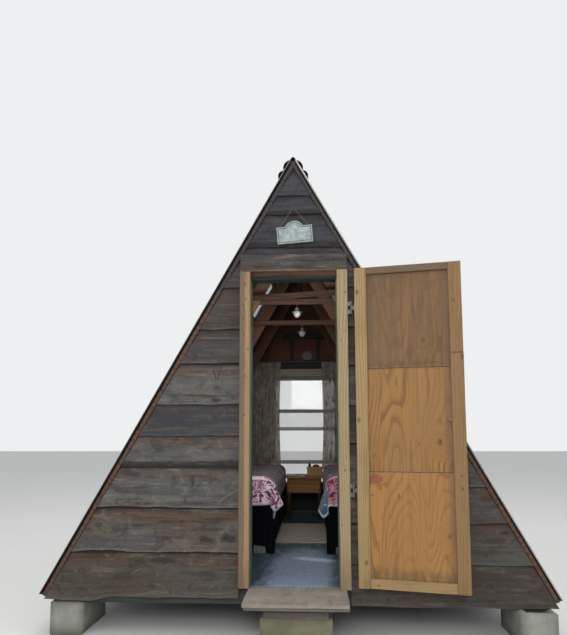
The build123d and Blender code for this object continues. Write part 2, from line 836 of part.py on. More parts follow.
with BuildPart() as window_head_trim:
    with BuildSketch(elevation(REAR_INNER - TRIM_T)):
        with Locations((WINDOW_X, HEAD_Z - WINDOW_FRAME_W + TRIM_H / 2)):
            Rectangle(WINDOW_W + 2 * STUD_T, TRIM_H)
    extrude(amount=-TRIM_T)
window_head_trim.part.label = "window_head_trim"
export_step(window_head_trim.part, "parts/window_head_trim.step")

SASH_SPAN = WINDOW_W - 2 * WINDOW_FRAME_W - 2 * SEAT
SASH_H = (HEAD_Z - SILL_Z - 2 * WINDOW_FRAME_W + SASH_W) / 2
UPPER_Y = REAR - SASH_T / 2 + GAP
LOWER_Y = UPPER_Y - SASH_T - GAP
UPPER_LOW = HEAD_Z - WINDOW_FRAME_W - SASH_H - SEAT
LOWER_LOW = SILL_Z + WINDOW_FRAME_W + SASH_RAISE


def sash(low, sash_y):
    """A sash's rails and stiles, its lower edge at height low and its inner face at depth sash_y."""
    with BuildPart() as frame:
        with BuildSketch(elevation(sash_y)):
            with Locations((WINDOW_X, low + SASH_H / 2)):
                Rectangle(SASH_SPAN, SASH_H)
                Rectangle(SASH_SPAN - 2 * SASH_W, SASH_H - 2 * SASH_W, mode=Mode.SUBTRACT)
        extrude(amount=-SASH_T)
    return frame.part


with BuildPart() as sash_upper:
    add(sash(UPPER_LOW, UPPER_Y))
sash_upper.part.label = "sash_upper"
export_step(sash_upper.part, "parts/sash_upper.step")

with BuildPart() as sash_lower:
    add(sash(LOWER_LOW, LOWER_Y))
sash_lower.part.label = "sash_lower"
export_step(sash_lower.part, "parts/sash_lower.step")

with BuildPart() as window_glass:
    for low, sash_y in ((UPPER_LOW, UPPER_Y), (LOWER_LOW, LOWER_Y)):
        with BuildSketch(elevation(sash_y + (SASH_T - GLASS_T) / 2)):
            with Locations((WINDOW_X, low + SASH_H / 2)):
                Rectangle(SASH_SPAN - 2 * SASH_W, SASH_H - 2 * SASH_W)
        extrude(amount=-GLASS_T)
window_glass.part.label = "window_glass"
export_step(window_glass.part, "parts/window_glass.step")

# Curtains on a rod held by the rear header

ROD_Y = REAR_INNER - ROD_AWAY
ROD_Z = REAR_HEADER_Z + ROD_RISE
ROD_X = roof_x(ROD_Z + ROD_R, INSIDE_IN) - GAP
with BuildPart() as curtain_rod:
    with BuildSketch(Plane.YZ.offset(-ROD_X)):
        with Locations((ROD_Y, ROD_Z)):
            Circle(ROD_R)
    extrude(amount=2 * ROD_X)
    with BuildSketch(elevation(ROD_Y)):
        with Locations((-ROD_X + BRACKET_IN, ROD_Z), (ROD_X - BRACKET_IN, ROD_Z)):
            Circle(BRACKET_R)
    extrude(amount=-ROD_AWAY)
curtain_rod.part.label = "curtain_rod"
export_step(curtain_rod.part, "parts/curtain_rod.step")

CURTAIN_LOW = FLOOR_Z + CURTAIN_RISE


def curtain_outline(inner_x):
    """Elevation outline of the right curtain, its outer side falling with the roof."""
    top = ROD_Z - ROD_R - SEAT
    return [
        (inner_x, CURTAIN_LOW),
        (CURTAIN_OUT, CURTAIN_LOW),
        (CURTAIN_OUT, roof_z(CURTAIN_OUT, INSIDE_IN)),
        (ROD_X, top),
        (inner_x, top),
    ]


with BuildPart() as curtains:
    for sign, inner_x in ((-1, CURTAIN_IN_LEFT), (1, CURTAIN_IN_RIGHT)):
        with BuildSketch(elevation(ROD_Y - CURTAIN_T / 2)):
            with BuildLine():
                Polyline(*side(curtain_outline(inner_x), sign), close=True)
            make_face()
        extrude(amount=-CURTAIN_T)
curtains.part.label = "curtains"
export_step(curtains.part, "parts/curtains.step")

# Lamps under the second and third ties: a stem, a shallow round shade and a bulb

LAMP_PLACES = [
    (lamp_x, tie_y + STUD_T / 2, tie_z - STUD_T / 2 - SEAT)
    for lamp_x, (tie_z, _, tie_y) in zip(LAMP_X, TIES[1:])
]


def turned(x, y, rings):
    """A many-sided turned solid through rings of (height, radius), standing at x, y."""
    with BuildPart() as solid:
        for z, radius in rings:
            with BuildSketch(Plane.XY.offset(z)):
                with Locations((x, y)):
                    RegularPolygon(radius, LAMP_SIDES)
        loft(ruled=True)
    return solid.part


with BuildPart() as lamp_shades:
    for lamp_x, lamp_y, top in LAMP_PLACES:
        rim = top - SHADE_DROP
        crown = rim + SHADE_H
        cap_top = crown + LAMP_CAP_R
        add(turned(lamp_x, lamp_y, [(rim, SHADE_R), (crown, LAMP_CAP_R)]))
        hollow = [(rim - SHADE_T, SHADE_R), (crown - SHADE_T, LAMP_CAP_R)]
        add(turned(lamp_x, lamp_y, hollow), mode=Mode.SUBTRACT)
        add(turned(lamp_x, lamp_y, [(crown, LAMP_CAP_R), (cap_top, LAMP_CAP_R)]))
        add(turned(lamp_x, lamp_y, [(cap_top, STEM_R), (top, STEM_R)]))
lamp_shades.part.label = "lamp_shades"
export_step(lamp_shades.part, "parts/lamp_shades.step")

with BuildPart() as lamp_bulbs:
    for lamp_x, lamp_y, top in LAMP_PLACES:
        bulb_z = top - SHADE_DROP + SHADE_H - SHADE_T - SEAT - BULB_R
        rings = [(bulb_z + h * BULB_R, r * BULB_R) for h, r in BULB_RINGS]
        add(turned(lamp_x, lamp_y, rings))
lamp_bulbs.part.label = "lamp_bulbs"
export_step(lamp_bulbs.part, "parts/lamp_bulbs.step")

# Step in front of the doorway

TREAD_W = TREAD_LEFT + TREAD_RIGHT
TREAD_X = (TREAD_RIGHT - TREAD_LEFT) / 2
TREAD_Z = FLOOR_Z - TREAD_T
UNDER_Z = TREAD_Z - UNDER_T

with BuildPart() as step_tread:
    with BuildSketch(Plane.XY.offset(TREAD_Z)):
        with Locations((TREAD_X, FRONT - STEP_REACH / 2)):
            Rectangle(TREAD_W, STEP_REACH)
    extrude(amount=TREAD_T)
step_tread.part.label = "step_tread"
export_step(step_tread.part, "parts/step_tread.step")

with BuildPart() as step_under_board:
    with BuildSketch(Plane.XY.offset(UNDER_Z)):
        with Locations((TREAD_X + UNDER_SET / 2, FRONT - (STEP_REACH - UNDER_SET) / 2)):
            Rectangle(TREAD_W - UNDER_SET, STEP_REACH - UNDER_SET)
    extrude(amount=UNDER_T)
step_under_board.part.label = "step_under_board"
export_step(step_under_board.part, "parts/step_under_board.step")

with BuildPart() as step_shims:
    with BuildSketch(Plane.XY.offset(BLOCK_H)):
        with Locations((STEP_BLOCK_X, STEP_BLOCK_Y)):
            Rectangle(BLOCK_L, BLOCK_W)
    extrude(amount=UNDER_Z - BLOCK_H)
step_shims.part.label = "step_shims"
export_step(step_shims.part, "parts/step_shims.step")

# Door leaf, modelled closed and then turned open about its hinge

HINGE_X = POST_OUTER_X + HINGE_OFFSET
HINGE_Y = POST_FACE - DOOR_GAP / 2
HINGE_AXIS = Axis((HINGE_X, HINGE_Y, 0), (0, 0, 1))
DOOR_INNER_Y = POST_FACE - DOOR_GAP
DOOR_RIGHT = POST_OUTER_X
DOOR_LEFT = -(POST_INNER_X + DOOR_LAP)
DOOR_W = DOOR_RIGHT - DOOR_LEFT
DOOR_X = (DOOR_LEFT + DOOR_RIGHT) / 2
DOOR_LOW = FLOOR_Z + DOOR_LIFT
DOOR_TOP = POST_TOP + DOOR_RISE
DOOR_H = DOOR_TOP - DOOR_LOW

with BuildPart() as closed_frame:
    with BuildSketch(elevation(DOOR_INNER_Y)):
        with Locations((DOOR_X, DOOR_LOW + DOOR_H / 2)):
            Rectangle(DOOR_W, DOOR_H)
        open_h = DOOR_H - TOP_RAIL_H - BOTTOM_RAIL_H
        with Locations((DOOR_X, DOOR_LOW + BOTTOM_RAIL_H + open_h / 2)):
            Rectangle(DOOR_W - 2 * STILE_W, open_h, mode=Mode.SUBTRACT)
    extrude(amount=DOOR_FRAME_T)
with BuildPart() as door_frame:
    add(closed_frame.part.rotate(HINGE_AXIS, DOOR_OPEN))
door_frame.part.label = "door_frame"
export_step(door_frame.part, "parts/door_frame.step")

PANEL_Y = DOOR_INNER_Y - DOOR_FRAME_T
LOW_SEAM = DOOR_LOW + LOW_PANEL_H
HIGH_SEAM = LOW_SEAM + MIDDLE_PANEL_H
PANELS = [
    (DOOR_LOW, LOW_SEAM - SEAM_GAP / 2),
    (LOW_SEAM + SEAM_GAP / 2, HIGH_SEAM - SEAM_GAP / 2),
    (HIGH_SEAM + SEAM_GAP / 2, DOOR_TOP),
]
with BuildPart() as closed_panels:
    for low, high in PANELS:
        with BuildSketch(elevation(PANEL_Y)):
            with Locations((DOOR_X, (low + high) / 2)):
                Rectangle(DOOR_W, high - low)
        extrude(amount=DOOR_PANEL_T)
with BuildPart() as door_panels:
    add(closed_panels.part.rotate(HINGE_AXIS, DOOR_OPEN))
door_panels.part.label = "door_panels"
export_step(door_panels.part, "parts/door_panels.step")

BOARD_Y = PANEL_Y - DOOR_PANEL_T
BOARD_H = DOOR_H / DOOR_BOARD_COUNT
with BuildPart() as closed_boards:
    with BuildSketch(elevation(BOARD_Y)):
        with Locations((DOOR_X, DOOR_LOW + DOOR_H / 2)):
            with GridLocations(1, BOARD_H, 1, DOOR_BOARD_COUNT):
                Rectangle(DOOR_W, BOARD_H - SEAM_GAP)
    extrude(amount=DOOR_BOARD_T)
with BuildPart() as door_boards:
    add(closed_boards.part.rotate(HINGE_AXIS, DOOR_OPEN))
door_boards.part.label = "door_boards"
export_step(door_boards.part, "parts/door_boards.step")

with BuildPart() as closed_latch:
    with BuildSketch(elevation(PANEL_Y)):
        with Locations((DOOR_LEFT + LATCH_IN, DOOR_LOW + LATCH_RISE)):
            Circle(LATCH_R)
    extrude(amount=-LATCH_L)
with BuildPart() as door_latch:
    add(closed_latch.part.rotate(HINGE_AXIS, DOOR_OPEN))
door_latch.part.label = "door_latch"
export_step(door_latch.part, "parts/door_latch.step")

# Hinges: one cranked leaf on the post's side, one on the door's edge, knuckles on a common pin

KNUCKLE_H = (HINGE_H - 2 * KNUCKLE_GAP) / 3
MIDDLE_SPAN = (KNUCKLE_H + KNUCKLE_GAP, 2 * KNUCKLE_H + KNUCKLE_GAP)
OUTER_SPANS = [(0, KNUCKLE_H), (HINGE_H - KNUCKLE_H, HINGE_H)]
HINGE_BASES = [
    DOOR_LOW + HINGE_RISE - HINGE_H / 2,
    DOOR_TOP - HINGE_DROP - HINGE_H / 2,
]


def hinge_half(spans, out):
    """Leaves and knuckles of both hinges: out is +1 for the post's half and -1 for the door's."""
    bridge_y = HINGE_Y + out * (BARREL_R - LEAF_T / 2)
    bridge_x = (POST_OUTER_X + HINGE_X) / 2
    with BuildPart() as half:
        for base in HINGE_BASES:
            for low, high in spans:
                with BuildSketch(Plane.XY.offset(base + low)):
                    with Locations((HINGE_X, HINGE_Y)):
                        Circle(BARREL_R)
                    with Locations((bridge_x, bridge_y)):
                        Rectangle(HINGE_OFFSET, LEAF_T)
                    with Locations((HINGE_X, HINGE_Y)):
                        Circle(PIN_R + PIN_CLEAR, mode=Mode.SUBTRACT)
                extrude(amount=high - low)
            with BuildSketch(Plane.XY.offset(base)):
                with Locations((POST_OUTER_X + LEAF_T / 2, bridge_y + out * LEAF_BACK / 2)):
                    Rectangle(LEAF_T, LEAF_BACK + LEAF_T)
            extrude(amount=HINGE_H)
    return half.part


with BuildPart() as hinge_post_leaves:
    add(hinge_half(OUTER_SPANS, 1))
hinge_post_leaves.part.label = "hinge_post_leaves"
export_step(hinge_post_leaves.part, "parts/hinge_post_leaves.step")

with BuildPart() as hinge_door_leaves:
    add(hinge_half([MIDDLE_SPAN], -1).rotate(HINGE_AXIS, DOOR_OPEN))
hinge_door_leaves.part.label = "hinge_door_leaves"
export_step(hinge_door_leaves.part, "parts/hinge_door_leaves.step")

with BuildPart() as hinge_pins:
    for base in HINGE_BASES:
        with BuildSketch(Plane.XY.offset(base)):
            with Locations((HINGE_X, HINGE_Y)):
                Circle(PIN_R)
        extrude(amount=HINGE_H + SEAT)
        with BuildSketch(Plane.XY.offset(base + HINGE_H + SEAT)):
            with Locations((HINGE_X, HINGE_Y)):
                Circle(BARREL_R)
        extrude(amount=LEAF_T)
hinge_pins.part.label = "hinge_pins"
export_step(hinge_pins.part, "parts/hinge_pins.step")

# Beds: legs, base, mattress, hanging blanket and quilt

BED_BASE_Z = FLOOR_Z + LEG_H
MATTRESS_Z = BED_BASE_Z + BED_BASE_T
MATTRESS_TOP = MATTRESS_Z + MATTRESS_H
QUILT_TOP = MATTRESS_TOP + SEAT + QUILT_T
BED_OUTER = roof_x(QUILT_TOP, INSIDE_IN) - BED_SIDE_GAP
BED_HEAD = REAR_INNER - BED_HEAD_GAP
BED_FOOT = BED_HEAD - BED_LENGTH
BED_INNER_LEFT = BED_OUTER - BED_WIDTH_LEFT
BED_INNER_RIGHT = BED_OUTER - BED_WIDTH_RIGHT
BEDS = [(-1, BED_INNER_LEFT), (1, BED_INNER_RIGHT)]
TABLE_BACK = REAR_INNER - TABLE_BACK_GAP
TABLE_FRONT = TABLE_BACK - TABLE_D


def bed_block(sign, inner, grow, low, high, head=BED_HEAD):
    """A block over a bed's plan from low to high, grown past its inner side and its foot."""
    x0 = inner - grow
    y0 = BED_FOOT - grow
    with BuildPart() as block:
        with BuildSketch(Plane.XY.offset(low)):
            with Locations((sign * (x0 + BED_OUTER) / 2, (y0 + head) / 2)):
                Rectangle(BED_OUTER - x0, head - y0)
        extrude(amount=high - low)
    return block.part


with BuildPart() as bed_legs:
    for sign, inner in BEDS:
        near = sign * (inner + LEG_SET + LEG_W / 2)
        far = sign * (BED_OUTER - LEG_W / 2)
        foot = BED_FOOT + LEG_W / 2
        head = BED_HEAD - LEG_W / 2
        with BuildSketch(Plane.XY.offset(FLOOR_Z)):
            with Locations((near, foot), (far, foot), (near, head), (far, head)):
                Rectangle(LEG_W, LEG_W)
        extrude(amount=LEG_H)
bed_legs.part.label = "bed_legs"
export_step(bed_legs.part, "parts/bed_legs.step")

with BuildPart() as bed_bases:
    for sign, inner in BEDS:
        add(bed_block(sign, inner, 0, BED_BASE_Z, MATTRESS_Z))
bed_bases.part.label = "bed_bases"
export_step(bed_bases.part, "parts/bed_bases.step")

with BuildPart() as mattresses:
    for sign, inner in BEDS:
        add(bed_block(sign, inner, 0, MATTRESS_Z + SEAT, MATTRESS_TOP))
mattresses.part.label = "mattresses"
export_step(mattresses.part, "parts/mattresses.step")

BLANKET_OUT = SEAT + BLANKET_T
BLANKET_LOW = FLOOR_Z + BLANKET_LIFT
with BuildPart() as blankets:
    for sign, inner in BEDS:
        add(bed_block(sign, inner, BLANKET_OUT, BLANKET_LOW, MATTRESS_TOP))
        add(bed_block(sign, inner, SEAT, BLANKET_LOW, MATTRESS_TOP), mode=Mode.SUBTRACT)
blankets.part.label = "blankets"
export_step(blankets.part, "parts/blankets.step")

QUILT_IN = BLANKET_OUT + SEAT
QUILT_OUT = QUILT_IN + QUILT_T
QUILT_LOW = MATTRESS_TOP - QUILT_HANG
QUILT_HEAD = TABLE_FRONT - QUILT_T
with BuildPart() as quilts:
    for sign, inner in BEDS:
        add(bed_block(sign, inner, QUILT_OUT, QUILT_LOW, QUILT_TOP, QUILT_HEAD))
        add(
            bed_block(sign, inner, QUILT_IN, QUILT_LOW, MATTRESS_TOP + SEAT, QUILT_HEAD),
            mode=Mode.SUBTRACT,
        )
quilts.part.label = "quilts"
export_step(quilts.part, "parts/quilts.step")

# Table at the rear wall, between the beds, with a box on it

TABLE_EDGE_LEFT = -(BED_INNER_LEFT - BLANKET_OUT - TABLE_SIDE_GAP)
TABLE_EDGE_RIGHT = BED_INNER_RIGHT - BLANKET_OUT - TABLE_SIDE_GAP
TABLE_W = TABLE_EDGE_RIGHT - TABLE_EDGE_LEFT
TABLE_X = (TABLE_EDGE_LEFT + TABLE_EDGE_RIGHT) / 2
TABLE_Y = TABLE_FRONT + TABLE_D / 2
TABLE_TOP_Z = FLOOR_Z + TABLE_H
TABLE_UNDER = TABLE_TOP_Z - TABLE_TOP_T
FRAME_W = TABLE_W - 2 * APRON_T
FRAME_D = TABLE_D - 2 * APRON_T

with BuildPart() as table_frame:
    with BuildSketch(Plane.XY.offset(TABLE_UNDER - APRON_H)):
        with Locations((TABLE_X, TABLE_Y)):
            Rectangle(FRAME_W, FRAME_D)
            Rectangle(FRAME_W - 2 * APRON_T, FRAME_D - 2 * APRON_T, mode=Mode.SUBTRACT)
    extrude(amount=APRON_H)
    with BuildSketch(Plane.XY.offset(FLOOR_Z)):
        with Locations((TABLE_X, TABLE_Y)):
            with GridLocations(FRAME_W - TABLE_LEG, FRAME_D - TABLE_LEG, 2, 2):
                Rectangle(TABLE_LEG, TABLE_LEG)
    extrude(amount=TABLE_UNDER - FLOOR_Z)
table_frame.part.label = "table_frame"
export_step(table_frame.part, "parts/table_frame.step")

with BuildPart() as table_top:
    with BuildSketch(Plane.XY.offset(TABLE_UNDER)):
        with Locations((TABLE_X, TABLE_Y)):
            Rectangle(TABLE_W, TABLE_D)
    extrude(amount=TABLE_TOP_T)
table_top.part.label = "table_top"
export_step(table_top.part, "parts/table_top.step")

with BuildPart() as table_box:
    with BuildSketch(Plane.XY.offset(TABLE_TOP_Z)):
        with Locations((TABLE_EDGE_RIGHT - BOX_SIDE - BOX_W / 2, TABLE_Y - BOX_D / 2)):
            Rectangle(BOX_W, BOX_D)
    extrude(amount=BOX_H)
table_box.part.label = "table_box"
export_step(table_box.part, "parts/table_box.step")

with BuildPart() as rug:
    with BuildSketch(Plane.XY.offset(FLOOR_Z + SEAT)):
        with Locations((0, BED_FOOT + RUG_BACK + RUG_L / 2)):
            Rectangle(RUG_W, RUG_L)
    extrude(amount=RUG_T)
rug.part.label = "rug"
export_step(rug.part, "parts/rug.step")
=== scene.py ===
"""A-frame cabin: makes its boards, roofing, door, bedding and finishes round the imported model."""

import math
import random

import bmesh
import bpy
from mathutils import Matrix, Vector, noise


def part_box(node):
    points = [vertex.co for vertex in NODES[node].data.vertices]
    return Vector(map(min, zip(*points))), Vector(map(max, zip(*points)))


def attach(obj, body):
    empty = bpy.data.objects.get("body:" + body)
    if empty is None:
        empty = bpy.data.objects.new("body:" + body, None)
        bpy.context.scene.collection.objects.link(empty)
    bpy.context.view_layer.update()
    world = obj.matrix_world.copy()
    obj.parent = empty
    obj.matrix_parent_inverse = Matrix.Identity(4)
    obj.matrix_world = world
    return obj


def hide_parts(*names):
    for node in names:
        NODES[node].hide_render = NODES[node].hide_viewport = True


bl_info = {
    "name": "A-frame cabin",
    "version": (1, 0, 0),
    "blender": (4, 5, 0),
    "location": "View3D > Sidebar > Cabin",
    "description": "Makes the boards, roofing, door, bedding and finishes of a small A-frame cabin",
    "category": "Add Mesh",
}

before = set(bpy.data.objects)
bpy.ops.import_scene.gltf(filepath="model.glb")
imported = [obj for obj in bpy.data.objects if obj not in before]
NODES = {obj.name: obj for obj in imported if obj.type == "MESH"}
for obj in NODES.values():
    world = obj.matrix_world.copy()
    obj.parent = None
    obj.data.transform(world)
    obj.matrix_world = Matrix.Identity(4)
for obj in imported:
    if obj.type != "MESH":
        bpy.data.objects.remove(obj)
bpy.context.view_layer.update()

# The model's own layout, in metres
HALF_WIDTH = 1.525
RIDGE_Z = 2.943
TIP_Z = 0.247
PITCH = math.atan2(RIDGE_Z - TIP_Z, HALF_WIDTH)
COS = math.cos(PITCH)
SIN = math.sin(PITCH)
TAN = SIN / COS
FRONT = -1.358
REAR = 1.690
DECK_IN = 0.0163
SIDING_IN = 0.0403
POST_OUTER_X = 0.328
HINGE = Vector((0.348, FRONT - 0.0785, 0.0))
DOOR_OPEN = math.radians(168.7)
FRAMES = [FRONT + 0.7525 * i for i in range(5)]
LEFT_EDGES = [0.233, 0.496, 0.755, 0.995, 1.181, 1.371, 1.623, 1.831, 2.094]
RIGHT_EDGES = [0.198, 0.437, 0.670, 0.880, 1.138, 1.361, 1.606, 1.841, 2.091]
GABLE_EDGES = [2.295, 2.347, 2.560, 2.677]
REAR_EDGES = [0.233 + 0.24 * i for i in range(11)]
WINDOW = (-0.382, 0.418, 0.620, 1.850)


def srgb(*shades):
    """The scene colour of a display colour given from 0 to 255."""
    return tuple(c / 255 / 12.92 if c <= 10 else ((c / 255 + 0.055) / 1.055) ** 2.4 for c in shades)


def toned(value, *shares):
    """A colour made darker or paler by one share, or by one share for each channel."""
    return tuple(min(1.0, c * k) for c, k in zip(value, shares * (3 // len(shares))))


def roof_x(z, inset):
    """Half width of the roof at height z, on a line inset from its outer surface."""
    return (RIDGE_Z - z) / TAN - inset / SIN


def roof_z(x, inset):
    """Height of the roof at distance x from the middle, on a line inset from its outer surface."""
    return RIDGE_Z - x * TAN - inset / COS


def on_roof(sign, d, h, y):
    """A point d down one slope from the ridge, h out of its outer line, at depth y."""
    return Vector((sign * (d * COS + h * SIN), y, RIDGE_Z - d * SIN + h * COS))


def smooth(low, high, value):
    """0 below low, 1 above high, eased between."""
    t = min(1.0, max(0.0, (value - low) / (high - low)))
    return t * t * (3 - 2 * t)


def wander(x, y=0.0, z=0.0):
    """Smooth noise from about -1 to 1."""
    return noise.noise(Vector((x, y, z))) * 1.6


# Sizes and colours


def length(label, text, value):
    """A length property with its name, description and default."""
    return bpy.props.FloatProperty(name=label, description=text, default=value, unit="LENGTH")


def colour(label, text, *shades):
    """A colour property with its name, description and default, given as a display colour."""
    return bpy.props.FloatVectorProperty(
        name=label, description=text, subtype="COLOR", size=3, min=0, max=1, default=srgb(*shades)
    )


class CabinSizes(bpy.types.PropertyGroup):
    """Sizes of the details that Blender adds to the model."""

    board_thickness: length("Board thickness", "Thickness of a siding board", 0.015)
    board_lap: length("Board lap", "How far a siding board reaches behind the next one", 0.024)
    edge_wander: length("Edge wander", "How far a sawn lower edge strays from straight", 0.0025)
    wave_pitch: length("Wave pitch", "Width of one wave of the roofing", 0.068)
    wave_depth: length("Wave depth", "Depth of the roofing from crest to trough", 0.016)
    sheet_thickness: length("Sheet thickness", "Thickness of the roofing", 0.0015)
    plank_width: length("Deck plank width", "Width of a board under the roofing", 0.140)
    screw_radius: length("Screw radius", "Radius of a roofing screw's washer", 0.008)


class CabinColours(bpy.types.PropertyGroup):
    """Colours of the cabin's finishes."""

    siding_brown: colour("Siding, brown", "Brown of the weathered boards", 72, 60, 49)
    siding_grey: colour("Siding, grey", "Grey of the weathered boards", 88, 85, 80)
    siding_blue: colour("Siding, blue", "Blue grey of the wettest boards", 54, 57, 60)
    gable_brown: colour("Gable, brown", "Dark brown of the gable's boards", 42, 39, 43)
    gable_grey: colour("Gable, grey", "Grey of the gable's boards", 50, 50, 58)
    bark: colour("Live edge", "Reddish brown of a board's live edge", 112, 66, 38)
    post_light: colour("Posts, light", "Yellow of the doorway's posts", 148, 130, 96)
    post_dark: colour("Posts, dark", "Grain of the doorway's posts", 108, 84, 58)
    ply_light: colour("Plywood, light", "Light of the door's plywood", 153, 110, 55)
    ply_dark: colour("Plywood, dark", "Figure of the door's plywood", 94, 59, 28)
    frame_light: colour("Door frame, light", "Light of the door's stiles", 152, 126, 84)
    frame_dark: colour("Door frame, dark", "Grain of the door's stiles", 104, 78, 46)
    lumber_light: colour("Lumber, light", "Light of the inside lumber", 101, 72, 58)
    lumber_dark: colour("Lumber, dark", "Grain of the inside lumber", 55, 37, 30)
    green_light: colour("Green stain, light", "Light of the stained lumber", 52, 64, 58)
    green_dark: colour("Green stain, dark", "Dark of the stained lumber", 22, 30, 28)
    concrete: colour("Concrete", "Grey of the blocks", 140, 140, 131)
    roofing: colour("Roofing", "Pale colour of the corrugated sheets", 176, 176, 164)
    skylight: colour("Clear roofing", "Tint of the translucent sheets", 226, 226, 232)
    cap: colour("Ridge cap", "Black of the ridge cap", 34, 33, 34)
    floor_paint: colour("Floor paint", "Teal paint of the floor", 66, 92, 98)
    floor_worn: colour("Floor, worn", "Worn middle of the floor", 140, 155, 177)
    navy: colour("Blanket", "Navy of the blankets", 7, 9, 15)
    curtain: colour("Curtain", "Thin curtain cloth", 190, 184, 174)
    rug: colour("Rug", "Beige of the rug", 176, 164, 146)
    steel: colour("Steel", "Dull steel of hinges and fittings", 98, 102, 98)


# Materials


class Value:
    """A socket's value in a material; sums and products of it add Math nodes."""

    def __init__(self, looks, socket):
        self.looks = looks
        self.socket = socket

    def math(self, operation, *others):
        return self.looks.node("Math", {"operation": operation}, dict(enumerate((self, *others))))

    def __add__(self, other):
        return self.math("ADD", other)

    __radd__ = __add__

    def __mul__(self, other):
        return self.math("MULTIPLY", other)

    __rmul__ = __mul__

    def __sub__(self, other):
        return self.math("SUBTRACT", other)

    def __rsub__(self, other):
        return self.looks.node("Math", {"operation": "SUBTRACT"}, {0: other, 1: self})

    def __truediv__(self, other):
        return self.math("DIVIDE", other)

    def __abs__(self):
        return self.math("ABSOLUTE")

    def between(self, low, high):
        """0 at low, 1 at high, eased between; low may be above high."""
        span = {"Value": self, "From Min": low, "From Max": high}
        return self.looks.node("MapRange", {"interpolation_type": "SMOOTHSTEP"}, span)


def rgba(value):
    """A colour with alpha for a socket, or the value itself if it is a link."""
    return value if isinstance(value, Value) else (*value, 1.0)


class Looks:
    """One material, or the world, and its nodes."""

    def __init__(self, name, library="materials"):
        self.material = getattr(bpy.data, library).new(name)
        self.material.use_nodes = True
        self.tree = self.material.node_tree
        self.tree.nodes.clear()

    def node(self, kind, settings=None, inputs=None, out=0):
        """Adds a node, sets it up, fills its sockets and gives one of its outputs."""
        made = self.tree.nodes.new("ShaderNode" + kind)
        for key, value in (settings or {}).items():
            if key == "stops":
                self.set_stops(made.color_ramp, value)
            else:
                setattr(made, key, value)
        for key, value in (inputs or {}).items():
            if isinstance(value, Value):
                self.tree.links.new(value.socket, made.inputs[key])
            else:
                made.inputs[key].default_value = value
        return Value(self, made.outputs[out]) if len(made.outputs) else None

    @staticmethod
    def set_stops(ramp, stops):
        ramp.interpolation = "CONSTANT"
        while len(ramp.elements) > 1:
            ramp.elements.remove(ramp.elements[-1])
        ramp.elements[0].position = stops[0][0]
        ramp.elements[0].color = (*stops[0][1], 1.0)
        for position, value in stops[1:]:
            ramp.elements.new(position).color = (*value, 1.0)

    def place(self):
        """The point's place in the object."""
        return self.node("TexCoord", out=3)

    def facing(self, index):
        """One component of the surface's direction."""
        return self.part(self.node("TexCoord", out=1), index)

    def uv(self):
        return self.node("TexCoord", out=2)

    def part(self, vector, index):
        return self.node("SeparateXYZ", None, {0: vector}, out=index)

    def vector(self, x, y, z):
        return self.node("CombineXYZ", None, {0: x, 1: y, 2: z})

    def scaled(self, vector, factors):
        return self.node("VectorMath", {"operation": "MULTIPLY"}, {0: vector, 1: factors})

    def apart(self, point, x, y, z=0.0):
        """Distance of a place from a point."""
        return self.node("VectorMath", {"operation": "DISTANCE"}, {0: self.vector(x, y, z), 1: point}, out=1)

    def attribute(self, name):
        return self.node("Attribute", {"attribute_name": name}, out=2)

    def cloud(self, vector, scale=1.0, detail=3.0, rough=0.5, bend=0.0):
        """Soft noise."""
        inputs = {"Vector": vector, "Scale": scale, "Detail": detail, "Roughness": rough, "Distortion": bend}
        return self.node("TexNoise", None, inputs)

    def streaks(self, x, y, z, *more):
        """Soft noise on a place that is stretched."""
        return self.cloud(self.vector(x, y, z), 1.0, *more)

    def cells(self, vector, scale=1.0, out=0):
        return self.node("TexVoronoi", None, {"Vector": vector, "Scale": scale}, out=out)

    def mix(self, factor, first, second):
        return self.node("Mix", {"data_type": "RGBA"}, {0: factor, 6: rgba(first), 7: rgba(second)}, out=2)

    def layers(self, tint, *layers):
        """Lays colours over a tint, one after the other, each by its own factor."""
        for factor, value in layers:
            tint = self.mix(factor, tint, value)
        return tint

    def patches(self, value, *stops):
        """Colours with hard edges between them, by a value."""
        return self.node("ValToRGB", {"stops": stops}, {0: value})

    def bump(self, height, strength, reach):
        return self.node("Bump", None, {"Strength": strength, "Distance": reach, "Height": height})

    def shader(self, colour_value, rough=0.8, normal=None, **more):
        """The main shader with its colour, roughness and normal; other sockets by name."""
        inputs = {"Base Color": rgba(colour_value), "Roughness": rough}
        if normal is not None:
            inputs["Normal"] = normal
        inputs.update({key.replace("_", " "): value for key, value in more.items()})
        return self.node("BsdfPrincipled", None, inputs)

    def painted(self, *look, **more):
        """Finishes the material with the main shader."""
        return self.finish(self.shader(*look, **more))

    def knots(self, along, across, spots, spread=3.2):
        """Bends the grain round knots given as (along, across, radius); gives it, the cores and the rims."""
        bent, core, rim = across, None, None
        uneven = (self.streaks(along * 70.0, across * 70.0, 0.0, 3.0, 0.6) - 0.5) * 1.3
        for a, c, r in spots:
            d = self.apart((0, 0, 0), (along - a) * 0.72, across - c) + uneven * r
            bent = bent + (d * 1.1 - bent) * d.between(r * spread, r * 0.9)
            hole = d.between(r * 0.75, r * 0.2)
            band = d.between(r * 1.30, r * 0.95) * d.between(r * 0.50, r * 0.85)
            core = hole if core is None else core.math("MAXIMUM", hole)
            rim = band if rim is None else rim.math("MAXIMUM", band)
        return bent, core, rim

    def finish(self, shader):
        self.node("OutputMaterial", None, {0: shader})
        return self.material


def grain_axes(looks, axis):
    """The point's place along and across the grain, for a grain direction."""
    place = looks.place()
    x, y, z = (looks.part(place, i) for i in range(3))
    if axis == "x":
        return x, z, y
    if axis == "y":
        return y, x, z
    if axis == "z":
        return z, x, y
    down = abs(x) * COS - z * SIN
    out = abs(x) * SIN + z * COS
    if axis == "slope":
        return down, y, out
    return y, down, out


